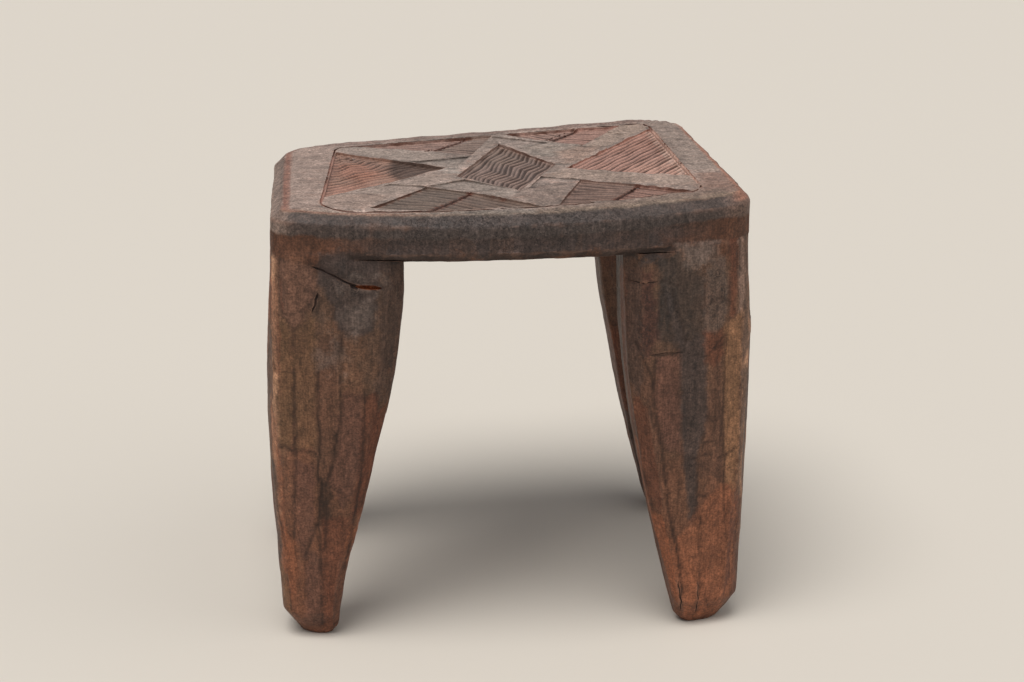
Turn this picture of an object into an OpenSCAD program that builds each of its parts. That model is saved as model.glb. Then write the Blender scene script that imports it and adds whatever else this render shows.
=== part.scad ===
// Small four-legged stool, hewn and carved from one block of wood.
// Millimetres. +X is to the sitter's right seen from the front, -Y is the front, +Z is up.
// The seat's shape is worked out on a unit square, from -1 to 1 each way, which place() bends
// onto the real plan. The carved panel has a unit square of its own inside that one.

/* [Seat] */
// Width of the seat at its front corners
seat_w = 304; // [240:2:400]
// Depth of the seat along its left side
left_depth = 242; // [200:2:320]
// Depth of the seat along its right side
right_depth = 270; // [200:2:320]
// How much further forward the left front corner lies than the right one
front_skew = 9; // [0:1:20]
// How far the back edge is shifted to the right
back_shift = 2; // [0:0.5:8]
// How far the front edge bows out at its middle
front_bow = 19; // [0:1:35]
// How far the back edge bows out at its middle
back_bow = 4; // [0:1:20]
// Height of the top at the left front corner
seat_h = 292.3; // [220:0.1:420]
// Thickness of the seat at the left front corner
seat_t = 32.8; // [22:0.1:45]
// Rise of the top at the right front corner
front_right_rise = 3.2; // [0:0.1:8]
// Rise of the top at the right back corner
back_right_rise = 7.7; // [0:0.1:12]
// Fall of the top at the left back corner
back_left_fall = 4.8; // [0:0.1:6]
// Dip of the top at the middle of the front edge
front_dip = 5; // [0:0.1:8]
// Radius of the two front corners
front_corner_r = 14; // [10:1:40]
// Radius of the two back corners
back_corner_r = 40; // [12:1:60]
// Width and height of the bevel round the top edge
bevel = 7; // [3:0.5:9]
// Width of the bevel under the edge
under_bevel_w = 4; // [2:0.5:7]
// Height of the bevel under the edge
under_bevel_h = 5.5; // [2:0.5:7]

/* [Carving] */
// Width of the shallow rim line just inside the bevel
rim_w = 5; // [2:0.5:9]
// Depth of the rim line
rim_depth = 0.8; // [0.3:0.1:1.5]
// Margin of the panel along the seat's two sides
side_margin = 31; // [20:1:45]
// Extra side margin at the panel's left back corner
back_left_extra = 13; // [0:1:20]
// Margin of the panel at the back edge
back_margin = 27; // [18:1:45]
// Margin of the panel at its right front corner
front_right_margin = 23; // [18:1:45]
// Margin of the panel at its left front corner
front_left_margin = 18; // [16:1:45]
// Depth of the sunk fields
field_depth = 1.2; // [0.6:0.1:3]
// Width of the ridges left between neighbouring fields
ridge_w = 1.2; // [0.8:0.1:4]
// Spacing of the furrows across the fields
furrow_step = 5; // [3.5:0.1:12]
// Depth of the furrows below the fields
furrow_depth = 1; // [0.3:0.1:2]
// Width of the line round the panel
line_w = 2.6; // [1.5:0.1:4]
// Depth of the line round the panel
line_depth = 1.8; // [0.6:0.1:3]

/* [Legs] */
// Width of the left front leg under the seat
left_leg_w = 82; // [60:1:110]
// Width of the right front leg under the seat
right_leg_w = 84; // [60:1:110]
// Width of the back legs under the seat
back_leg_w = 72; // [50:1:100]
// Depth of every leg under the seat
leg_d = 76; // [50:1:95]
// Width of the left front leg near the floor
left_foot_w = 36; // [31:1:55]
// Width of the right front leg near the floor
right_foot_w = 42; // [31:1:55]
// Width of the back legs near the floor
back_foot_w = 34; // [31:1:50]
// Depth of every leg near the floor
foot_d = 39; // [32:1:55]
// How late the left front leg thins out on its way down
left_taper = 1.65; // [0.8:0.05:2]
// How late the right front leg thins out on its way down
right_taper = 1; // [0.8:0.05:2]
// How late the back legs thin out on their way down
back_taper = 1; // [0.8:0.05:2]
// How far back the left front leg's face leans at the floor
left_lean = 21; // [0:1:28]
// How far back the right front leg's face leans at the floor
right_lean = 7; // [0:1:28]
// How far forward the back legs' faces lean at the floor
back_lean = 12; // [0:1:28]
// How far out the back feet stand beyond the seat's sides
back_splay = 9; // [0:1:14]
// How far the left front leg's outer faces swell beyond the seat's side
left_swell = 4.8; // [0:0.1:8]
// How far the other legs' outer faces swell beyond the seat's side
leg_swell = 3; // [0:0.1:8]
// How high up the legs swell most; 1 is halfway
swell_rise = 1.3; // [1:0.1:2]
// Crown of a leg's outer faces between their corners
leg_crown = 1.5; // [0:0.5:4]
// Cut across the inner corner of a leg under the seat
inner_cut = 35; // [10:1:38]
// Height of the bevel round a foot
foot_bevel_h = 19; // [8:1:30]
// Width of the bevel round a foot's outer sides
foot_bevel_w = 10; // [6:1:12]
// Width of the bevel on a foot's inner sides
foot_inner_bevel = 4; // [1:0.5:6]

/* [Hidden] */

wood_top = "#6b5b54";
wood_leg = "#5a3a2e";

half_w = seat_w / 2;
half_d = (left_depth + right_depth) / 4;
seam_z = seat_h - seat_t;
arc_steps = 5;
side_steps = 5;
overlap = 0.2;

// Corners in the order front left, front right, back right, back left
SIGNS = [[-1, -1], [1, -1], [1, 1], [-1, 1]];
SEAT_CORNERS = [
    [-half_w, -front_skew, seat_h],
    [half_w, 0, seat_h + front_right_rise],
    [half_w + back_shift, right_depth, seat_h + back_right_rise],
    [-half_w + back_shift, left_depth - front_skew, seat_h - back_left_fall]
];
SEAT_RADII = [front_corner_r, front_corner_r, back_corner_r, back_corner_r];

// The panel's corners on the seat's unit square
PANEL_CORNERS = [
    [-1 + side_margin / half_w, -1 + (front_left_margin - bevel) / half_d],
    [1 - side_margin / half_w, -1 + front_right_margin / half_d],
    [1 - side_margin / half_w, 1 - back_margin / half_d],
    [-1 + (side_margin + back_left_extra) / half_w, 1 - (back_margin + bevel / 2) / half_d]
];
PANEL_RADII = [24, 9, 12, 9];

// The sunk fields on the panel's unit square. Each is a triangle whose furrows run along the
// side between its second and third corners.
FIELDS = [
    [[-1, 0.1], [-1, 0.85], [-0.32, 0.09]],
    [[-1, 0.1], [-0.32, 0.09], [-1, -0.66]],
    [[1, -0.64], [1, 0.85], [0.35, -0.12]],
    [[0.05, -0.61], [0.01, 0.72], [-0.29, -0.17]],
    [[0.05, -0.61], [0.31, -0.01], [0.01, 0.72]],
    [[-0.47, -1], [-0.22, -0.57], [-0.45, -0.38]],
    [[-0.45, -0.38], [-0.76, -0.9], [-0.47, -1]],
    [[-0.47, -1], [0.15, -1], [-0.22, -0.57]],
    [[0.5, -1], [0.7, -0.7], [0.4, -0.43]],
    [[0.4, -0.43], [0.22, -1], [0.5, -1]],
    [[0.5, -1], [0.93, -1], [0.7, -0.7]],
    [[-0.9, 1], [-0.44, 0.66], [-0.18, 1]],
    [[-0.18, 1], [-0.44, 0.66], [-0.18, 0.39]],
    [[-0.01, 1], [-0.18, 1], [-0.18, 0.39]],
    [[0.05, 1], [0.29, 0.69], [0.55, 1]],
    [[0.55, 1], [0.29, 0.69], [0.5, 0.45]],
    [[0.83, 1], [0.55, 1], [0.5, 0.45]]
];

// Each leg: corner number, width under the seat, width near the floor, taper, lean, swell, splay
LEG_FRONT_LEFT = [0, left_leg_w, left_foot_w, left_taper, left_lean, left_swell, 0];
LEG_FRONT_RIGHT = [1, right_leg_w, right_foot_w, right_taper, right_lean, leg_swell, 0];
LEG_BACK_RIGHT = [2, back_leg_w, back_foot_w, back_taper, back_lean, leg_swell, back_splay];
LEG_BACK_LEFT = [3, back_leg_w, back_foot_w, back_taper, back_lean, leg_swell, back_splay];
LEGS = [LEG_FRONT_LEFT, LEG_FRONT_RIGHT, LEG_BACK_RIGHT, LEG_BACK_LEFT];
// Heights of a leg's cross-sections: the foot's bevel first, then shares of what is left
LEG_SHARES = [0, 0.12, 0.26, 0.4, 0.54, 0.68, 0.8, 0.91, 1];
foot_inner_h = 0.3 * foot_bevel_h;
LEG_LEVELS = concat([0, foot_inner_h],
    [for (share = LEG_SHARES) foot_bevel_h + share * (seam_z - foot_bevel_h)]);

function mix(p, q, f) = p + (q - p) * f;
function reversed(list) = [for (i = [len(list) - 1:-1:0]) list[i]];
function unit(v) = v / norm(v);

// Triangle drawn in from its three sides
function drawn_in(t, inset) =
    [for (i = [0:2])
        let (u = unit(t[(i + 1) % 3] - t[i]), v = unit(t[(i + 2) % 3] - t[i]))
        t[i] + (u + v) * inset / norm(cross(u, v))];

// Weighs four corner values for a point of the unit square
function blend4(c, p) =
    (c[0] * (1 - p.x) * (1 - p.y) + c[1] * (1 + p.x) * (1 - p.y)
    + c[2] * (1 + p.x) * (1 + p.y) + c[3] * (1 - p.x) * (1 + p.y)) / 4;

// A point of the seat's unit square, on the top surface
function place(p) =
    let (
        base = blend4(SEAT_CORNERS, p),
        across = 1 - p.x * p.x,
        front = (1 - p.y) / 2,
        bow = across * (back_bow * (1 - front) - front_bow * front)
    )
    [base.x, base.y + bow, base.z - front_dip * across * front * front];

// The same point lowered, and one at a height of its own
function sunk(p, depth) = place(p) - [0, 0, depth];
function at_z(p, z) = [place(p).x, place(p).y, z];

// One rounded corner of the unit square, drawn in by an inset
function corner_arc(c, radius, inset) =
    let (r = [max(radius.x - inset.x, 0.002), max(radius.y - inset.y, 0.002)])
    [for (k = [0:arc_steps])
        let (a = 180 + 90 * (c + k / arc_steps))
        [SIGNS[c].x * (1 - inset.x - r.x) + r.x * cos(a),
         SIGNS[c].y * (1 - inset.y - r.y) + r.y * sin(a)]];

// The rounded unit square, counter-clockwise from its front left corner
function rounded_square(radii, inset) =
    [for (c = [0:3])
        let (
            arc = corner_arc(c, radii[c], inset),
            next = corner_arc((c + 1) % 4, radii[(c + 1) % 4], inset)
        )
        each concat(arc, [for (k = [1:side_steps])
            mix(arc[arc_steps], next[0], k / (side_steps + 1))])];

function on_seat(mm) = [mm / half_w, mm / half_d];
function seat_ring(inset) = rounded_square([for (r = SEAT_RADII) on_seat(r)], on_seat(inset));
function on_panel(p) = blend4(PANEL_CORNERS, p);
function panel_ring(inset) = [for (p = rounded_square(
    [for (r = PANEL_RADII) on_seat(r)], on_seat(inset))) on_panel(p)];

// Width or depth of a leg at a height
function leg_size(top, foot, taper, z) = foot + (top - foot) * pow(sin(90 * z / seam_z), taper);

// Cross-section of a leg. Offsets in from the seat's side and edge are turned into points of
// the unit square, so the leg's outer faces carry on those of the seat.
function leg_ring(leg, z) =
    let (
        c = leg[0],
        low = max(0, 1 - z / foot_bevel_h),
        inner_low = max(0, 1 - z / foot_inner_h),
        mid = sin(180 * pow(z / seam_z, swell_rise)),
        out = foot_bevel_w * low - leg[5] * mid,
        crown = leg_crown * mid,
        step = under_bevel_w * z / seam_z,
        w = leg_size(leg[1], leg[2], leg[3], z) - foot_inner_bevel * inner_low,
        d = leg_size(leg_d, foot_d, leg[3], z) - foot_inner_bevel * inner_low,
        r = min(SEAT_RADII[c], 0.45 * min(w, d)),
        cut = inner_cut * min(w, d) / leg_d,
        edge = 0.3 * cut,
        arc = [for (k = [0:arc_steps])
            let (a = 90 * k / arc_steps)
            [out + r - r * cos(a), out + r - r * sin(a)]],
        front = [
            [mix(out + r, w - edge, 0.5), out - crown],
            [w - edge, out + step],
            [w, out + step + edge]
        ],
        inner = [[w, d - cut], [w - cut, d]],
        side = [
            [out + step + edge, d],
            [out + step, d - edge],
            [out - crown, mix(out + r, d - edge, 0.5)]
        ],
        offsets = concat(arc, front, inner, side),
        turned = SIGNS[c].x * SIGNS[c].y > 0 ? offsets : reversed(offsets),
        lean = leg[4] * (1 - z / seam_z),
        splay = leg[6] * (1 - z / seam_z)
    )
    [for (o = turned) at_z([
        SIGNS[c].x * (1 - (o.x - splay) / half_w),
        SIGNS[c].y * (1 - (o.y + lean) / half_d)], z)];

// Middle of the whole stool's plan, which is moved onto the origin
OUTLINE = concat([for (p = seat_ring(0)) place(p)],
    [for (leg = LEGS) for (z = LEG_LEVELS) each leg_ring(leg, z)]);
OUTLINE_X = [for (p = OUTLINE) p.x];
OUTLINE_Y = [for (p = OUTLINE) p.y];
MIDDLE = [(min(OUTLINE_X) + max(OUTLINE_X)) / 2, (min(OUTLINE_Y) + max(OUTLINE_Y)) / 2, 0];

// Solid through a stack of like rings, lowest first
module loft(rings) {
    n = len(rings[0]);
    last = (len(rings) - 1) * n;
    polyhedron(
        points = [for (ring = rings) each ring],
        faces = concat(
            [[for (i = [0:n - 1]) i]],
            [for (j = [0:n:last - n]) for (i = [0:n - 1]) [j + i, j + n + i, j + n + (i + 1) % n]],
            [for (j = [0:n:last - n]) for (i = [0:n - 1])
                [j + i, j + n + (i + 1) % n, j + (i + 1) % n]],
            [[for (i = [n - 1:-1:0]) last + i]]
        )
    );
}

// The board of the seat, with its bevels and rim line and no carving
module board() {
    rim = bevel + rim_w;
    outer = seat_ring(0);
    inner = seat_ring(rim + rim_depth);
    loft(concat(
        [[for (p = seat_ring(under_bevel_w)) at_z(p, seam_z)]],
        [[for (p = outer) at_z(p, seam_z + under_bevel_h)]],
        [[for (p = outer) sunk(p, bevel)]],
        [[for (p = seat_ring(bevel)) sunk(p, rim_depth)]],
        [[for (p = seat_ring(rim)) sunk(p, rim_depth)]],
        [for (f = [1, 0.75, 0.5, 0.25, 0.03]) [for (p = inner) place(p * f)]]
    ));
}

// The root of a leg, which fills the bevel under the seat's edge
module root(leg) {
    ring = leg_ring(leg, seam_z);
    loft([ring, [for (p = ring) [p.x, p.y, seam_z + under_bevel_h + overlap]]]);
}

// Space over one sunk field, made of strips that are each V-shaped below
module field(corners) {
    t = drawn_in([for (p = corners) place(on_panel(p))], ridge_w / 2);
    height = norm(cross(t[2] - t[1], t[0] - t[1])) / norm(t[2] - t[1]);
    count = max(1, round(height / furrow_step));
    for (k = [0:count - 1])
        hull() {
            points = [
                for (f = [k, k + 0.5, k + 1]) for (i = [1, 2])
                    let (p = mix(t[0], t[i], f / count))
                    each [
                        p + [0, 0, bevel],
                        p - [0, 0, field_depth + (f == k + 0.5 ? furrow_depth : 0)]
                    ]
            ];
            polyhedron(points = points, faces = [[for (i = [0:len(points) - 1]) i]]);
        }
}

// Closed V-shaped line round the panel, drawn up past the top surface
module panel_line() {
    lift = 0.6;
    edge = line_w / 2 * (1 + lift / line_depth);
    rings = [
        [for (p = panel_ring(-line_w / 2 - edge)) sunk(p, -lift)],
        [for (p = panel_ring(-line_w / 2)) sunk(p, line_depth)],
        [for (p = panel_ring(-line_w / 2 + edge)) sunk(p, -lift)]
    ];
    n = len(rings[0]);
    polyhedron(
        points = [for (ring = rings) each ring],
        faces = [for (j = [0:2]) for (i = [0:n - 1]) for (half = [0, 1])
            let (
                a = j * n + i,
                b = j * n + (i + 1) % n,
                c = (j + 1) % 3 * n + (i + 1) % n,
                d = (j + 1) % 3 * n + i
            )
            half == 0 ? [a, b, c] : [a, c, d]]
    );
}

module seat() {
    color(wood_top) translate(-MIDDLE) difference() {
        union() {
            board();
            for (leg = LEGS) root(leg);
        }
        for (corners = FIELDS) field(corners);
        panel_line();
    }
}

module leg(leg) {
    color(wood_leg) translate(-MIDDLE) loft([for (z = LEG_LEVELS) leg_ring(leg, z)]);
}

module leg_front_left() { leg(LEG_FRONT_LEFT); }
module leg_front_right() { leg(LEG_FRONT_RIGHT); }
module leg_back_left() { leg(LEG_BACK_LEFT); }
module leg_back_right() { leg(LEG_BACK_RIGHT); }

seat();
leg_front_left();
leg_front_right();
leg_back_left();
leg_back_right();
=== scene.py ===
"""Looks of a low four-legged stool, hewn with an adze from one block and carved with a knife."""
import math
import random

import bpy
import numpy as np
from bpy.props import FloatProperty, FloatVectorProperty, IntProperty, PointerProperty
from mathutils import Matrix, Vector
from mathutils.bvhtree import BVHTree


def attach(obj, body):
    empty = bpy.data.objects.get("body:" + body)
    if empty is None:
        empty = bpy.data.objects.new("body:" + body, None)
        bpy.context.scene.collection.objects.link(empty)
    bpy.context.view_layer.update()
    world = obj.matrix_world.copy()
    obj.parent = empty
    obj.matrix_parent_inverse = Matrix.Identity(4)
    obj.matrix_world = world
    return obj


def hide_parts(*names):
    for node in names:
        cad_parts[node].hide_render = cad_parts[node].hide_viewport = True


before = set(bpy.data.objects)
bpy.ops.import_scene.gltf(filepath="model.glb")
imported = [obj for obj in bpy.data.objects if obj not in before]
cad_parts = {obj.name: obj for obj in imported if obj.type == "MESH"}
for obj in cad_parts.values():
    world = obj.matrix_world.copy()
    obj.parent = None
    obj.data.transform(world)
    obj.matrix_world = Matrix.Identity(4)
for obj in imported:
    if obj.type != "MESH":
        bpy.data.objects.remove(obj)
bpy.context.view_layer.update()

bl_info = {
    "name": "Hewn stool",
    "version": (1, 0, 0),
    "blender": (4, 5, 0),
    "location": "View3D > Sidebar > Stool",
    "description": "Hews, carves and finishes a low stool cut from one block of hardwood",
    "category": "Object",
}

MM = 0.001
TURN = 6.283  # one whole turn, in radians
LEGS = {
    "leg_front_left": (-1, -1),
    "leg_front_right": (1, -1),
    "leg_back_left": (-1, 1),
    "leg_back_right": (1, 1),
}
# Height of the plane in which the legs end and the board begins, in millimetres
SEAM = 259.5
# How far each leg's rough shape reaches up into the board, in metres
LAP = 0.007
# Faces that meet at less than this angle, in degrees, are shaded smooth
SMOOTH_ANGLE = 42
# Width and length of one tool facet of the adze, in metres
STROKE_W, STROKE_L = 0.0135, 0.1

# The seat's plan, in millimetres: front left, front right, back right, back left
SEAT_CORNERS = np.array([
    (-153.659, -131.11, 292.3),
    (150.341, -122.11, 295.5),
    (152.341, 147.89, 300.0),
    (-151.659, 110.89, 287.5),
])
HALF_W, HALF_D = 152.0, 128.0
FRONT_BOW, BACK_BOW, FRONT_DIP = 19.0, 4.0, 5.0
FRONT_ROUND, BACK_ROUND = 14.0, 40.0
# The bevel round the top is this high and wide. Inside it a shallow step, this deep, reaches this
# far in from the edge.
BEVEL, RIM_DEPTH, RIM_IN = 7.0, 0.8, 12.0
# The carved panel's corners on the seat's unit square, in the same order
PANEL_CORNERS = np.array([
    (-0.796, -0.9141),
    (0.796, -0.8203),
    (0.796, 0.7891),
    (-0.7105, 0.7617),
])
PANEL_ROUND = (24.0, 9.0, 12.0, 9.0)
# Half the panel's width and depth in millimetres, and its share of the seat's unit square
PANEL_HALF = (120, 102)
PANEL_SHARE = (0.78, 0.84)
# How far the cutters rise from the cut surface, in metres, and how deep the crests between the
# knife cuts lie below the top, in millimetres
CUTTER_RISE = 0.005
CREST_DEPTH = 1.25
# Rounds in which a place on a unit square is found from a plain one
ROUNDS = 25

# The sunk fields on the panel's unit square. The knife cuts run along the first row, from the
# first corner to the second, and along every row down to the last, from the fourth corner to the
# third. A triangle's first corner stands for a first row without length. Then come the spacing and
# depth of the cuts in millimetres, how broken they are, how far they zigzag, and the field's tone.
FIELDS = [
    (((-1, 0.85), (-0.33, 0.09), (-1, -0.62)), 6.5, 1.7, 0.3, 0.05, "#866a5d"),
    (((1, -0.64), (1, 0.85), (0.35, -0.12)), 4.3, 1.5, 0.1, 0, "#a07c70"),
    (((-0.29, -0.17), (0.01, 0.72), (0.31, -0.01), (0.05, -0.61)), 4.0, 1.2, 0.1, 0.1, "#7b6a62"),
    (((-0.45, -0.38), (-0.22, -0.57), (-0.47, -1), (-0.76, -0.93)), 6.2, 1.4, 0.0, 0, "#5b544d"),
    (((-0.47, -1), (0.15, -1), (-0.22, -0.57)), 6.6, 1.4, 0.2, 0, "#5d524a"),
    (((0.4, -0.43), (0.7, -0.7), (0.5, -1), (0.22, -1)), 6.0, 1.4, 0.2, 0, "#6a5951"),
    (((0.5, -1), (0.95, -1), (0.7, -0.7)), 5.8, 1.4, 0.3, 0, "#7a5f56"),
    (((-0.18, 1), (-0.9, 1), (-0.44, 0.66)), 6.2, 1.5, 0.4, 0, "#806a62"),
    (((-0.44, 0.66), (-0.18, 0.39), (-0.01, 1), (-0.18, 1)), 6.0, 1.4, 0.1, 0, "#766860"),
    (((0.55, 1), (0.05, 1), (0.29, 0.69)), 6.2, 1.4, 0.3, 0, "#8a7269"),
    (((0.29, 0.69), (0.5, 0.45), (0.83, 1), (0.55, 1)), 6.0, 1.4, 0.2, 0, "#907268"),
]
# Rough channels that split the fields, and how many cross notches each has
SPLITS = [
    ((-0.225, -0.585), (-0.46, -0.98), 15),
    ((0.695, -0.7), (0.51, -0.98), 10),
    ((-0.44, 0.64), (-0.2, 0.97), 13),
    ((0.3, 0.67), (0.53, 0.97), 12),
]
# Rows of small dents in the left field: start, end and number of dents
DENTS = [
    ((-0.97, 0.62), (-0.73, 0.24), 17),
    ((-0.96, 0.2), (-0.79, -0.12), 14),
    ((-0.71, -0.19), (-0.65, -0.25), 4),
]
# Tones inside the cuts, laid over one another: tone, share, softness in millimetres, outline on
# the panel's unit square
CUT_TONES = [
    # The first is a painted highlight on the lip along the right side of the panel's line
    ("#b39a8d", 0.8, 1, ((0.96, -1.0), (1.08, -1.0), (1.08, 0.8), (0.96, 0.8))),
    ("#7f6055", 0.7, 2, ((-1.08, -1.1), (-0.985, -1.1), (-0.985, 0.75), (-1.08, 0.75))),
    ("#93604e", 0.5, 14, ((-0.98, 0.5), (-0.8, 0.45), (-0.7, 0.05), (-0.8, -0.15), (-0.95, 0.1))),
    ("#9b7163", 0.5, 12, ((-1, -0.2), (-0.75, -0.2), (-0.8, -0.45), (-1, -0.7))),
    ("#3a342f", 0.92, 5, ((-0.66, 0.5), (-0.3, 0.09), (-0.6, -0.2), (-0.66, 0.1))),
    ("#9a7263", 0.5, 14, ((0.6, 0.25), (1.0, 0.85), (1.0, 0.25))),
    ("#b99585", 0.45, 12, ((0.8, -0.1), (1.0, 0.0), (1.0, -0.65), (0.7, -0.3))),
    ("#75665c", 0.7, 10, ((0.0, 0.75), (0.2, 0.2), (-0.2, 0.1))),
]
# Tones of the rubbed bands and margins, in the same way
TOP_TONES = [
    ("#9f887d", 0.6, 6, ((-1.6, -1.3), (-1.02, -1.0), (-1.02, 1.0), (-1.6, 1.4))),
    ("#96857b", 0.6, 8, ((1.03, 1.2), (1.5, 1.4), (1.5, -0.7), (1.03, -0.6))),
    ("#886a5d", 0.7, 12, ((1.03, -0.6), (1.5, -0.6), (1.5, -1.3), (0.95, -1.3))),
    ("#766d67", 0.75, 3, ((-1.0, -1.03), (0.1, -1.03), (0.1, -1.5), (-1.0, -1.5))),
    ("#746257", 0.8, 4, ((0.1, -1.03), (1.1, -1.03), (1.2, -1.5), (0.1, -1.5))),
    ("#836a61", 0.6, 5, ((-1.2, 1.06), (1.2, 1.06), (1.2, 1.4), (-1.2, 1.4))),
    ("#9c8c82", 0.65, 2.5, ((-1.0, 0.9), (-0.87, 1.0), (-0.45, 0.66), (-0.32, 0.5),
                            (-0.36, 0.33), (-0.55, 0.36))),
    # Painted shade on the facet where a band dips under another, the first in DIPS
    ("#857a72", 0.6, 4, ((-0.54, 0.36), (-0.18, 0.4), (-0.25, 0.1), (-0.36, 0.1))),
    ("#948379", 0.6, 3, ((-0.18, 0.42), (-0.01, 1.0), (0.02, 0.8), (-0.12, 0.36))),
    ("#9a8a81", 0.6, 3, ((-0.02, 1.02), (0.1, 0.98), (0.3, 0.7), (0.1, 0.55), (0.0, 0.76))),
    ("#82786f", 0.6, 5, ((0.12, 0.6), (0.3, 0.66), (0.5, 0.46), (0.35, 0.2), (0.2, 0.3))),
    ("#94796b", 0.65, 8, ((0.33, 0.35), (0.5, 0.44), (0.62, 0.4), (0.48, 0.06), (0.36, 0.0))),
    ("#a08a7c", 0.65, 3, ((0.52, 0.44), (0.66, 0.4), (1.0, 0.9), (0.95, 1.0), (0.8, 1.0))),
    ("#9d8a7f", 0.6, 4, ((-1.0, -0.62), (-0.4, 0.02), (-0.26, -0.16), (-0.44, -0.36),
                         (-0.68, -0.7))),
    ("#927b6f", 0.6, 4, ((-1.0, -0.7), (-0.95, -0.57), (-0.75, -0.53), (-0.66, -0.6),
                         (-0.78, -0.95), (-1.0, -0.9))),
    ("#8b7f76", 0.55, 4, ((-0.44, -0.36), (-0.28, -0.2), (0.06, -0.62), (-0.05, -0.78),
                          (-0.2, -0.56))),
    ("#837168", 0.7, 3, ((0.02, -0.62), (0.2, -0.5), (0.36, -0.48), (0.22, -1.0), (0.14, -1.0))),
    ("#988376", 0.6, 3, ((0.2, -0.3), (0.36, -0.14), (1.0, -0.64), (1.0, -0.9), (0.4, -0.42))),
    ("#8d8780", 0.5, 5, ((-0.4, 0.05), (-0.27, 0.12), (-0.24, -0.12), (-0.32, -0.1))),
]
# Soft dark lines of painted shade on the top, where one facet meets another: points, half width
# in millimetres, darkness
TOP_LINES = [
    (((-0.54, 0.36), (-0.36, 0.345), (-0.18, 0.385)), 1.6, 0.5),
    (((-1.0, -0.57), (-0.86, -0.52), (-0.74, -0.56), (-0.68, -0.66)), 1.3, 0.4),
    (((0.02, -0.64), (0.16, -0.52), (0.36, -0.49)), 1.3, 0.4),
    (((0.05, 0.72), (0.2, 0.64), (0.3, 0.66)), 1.4, 0.35),
    (((0.5, 0.43), (0.58, 0.395), (0.67, 0.4)), 1.3, 0.6),
    (((-0.44, -0.36), (-0.32, -0.42), (-0.22, -0.56)), 1.2, 0.4),
    (((0.36, -0.26), (0.5, -0.3), (0.62, -0.38)), 1.3, 0.35),
    (((1.06, 0.45), (1.16, 0.38), (1.25, 0.4)), 1.3, 0.4),
    (((1.05, 0.05), (1.15, -0.02), (1.28, 0.0)), 1.3, 0.35),
    (((1.04, 0.75), (1.16, 0.68), (1.26, 0.72)), 1.3, 0.35),
]
# Facets where one band dips under another: corners on the panel's unit square, with the depth at
# each in millimetres
DIPS = [
    ((-0.54, 0.34, 0.45), (-0.18, 0.39, 0.45), (-0.27, 0.12, 0.0), (-0.32, 0.09, 0.0)),
    ((-0.45, -0.38, 0.45), (-0.24, -0.26, 0.45), (0.0, -0.54, 0.0), (-0.22, -0.6, 0.0)),
    ((-0.65, -0.28, 0.4), (-0.45, -0.38, 0.4), (-0.62, -0.7, 0.0), (-0.86, -0.5, 0.0)),
    ((0.19, -0.3, 0.45), (0.4, -0.43, 0.45), (0.33, -0.72, 0.0), (0.1, -0.56, 0.0)),
    ((0.5, 0.45, 0.4), (0.68, 0.3, 0.4), (0.84, 0.66, 0.0), (0.7, 0.84, 0.0)),
    ((-0.02, 0.98, 0.5), (0.0, 0.74, 0.5), (0.14, 0.5, 0.0), (0.32, 0.62, 0.0)),
]

# Tones that smoke, handling and bare wood give the hewn facets. The pale one also stands for
# painted light on the front legs' outer strips.
TONES = {
    "pale": "#b5886a",
    "olive": "#654932",
    "umber": "#593c2e",
    "smoke": "#3d3432",
    "dusk": "#4b3931",
    "russet": "#653826",
    "mauve": "#5d3d32",
    "bark": "#38251b",
    "brick": "#8c5337",
    "ash": "#685c56",
    "soot": "#352e2a",
    "tan": "#8b6447",
    "oxblood": "#4b2e26",
    "chestnut": "#694a3c",
    "clay": "#8d7264",
}
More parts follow.
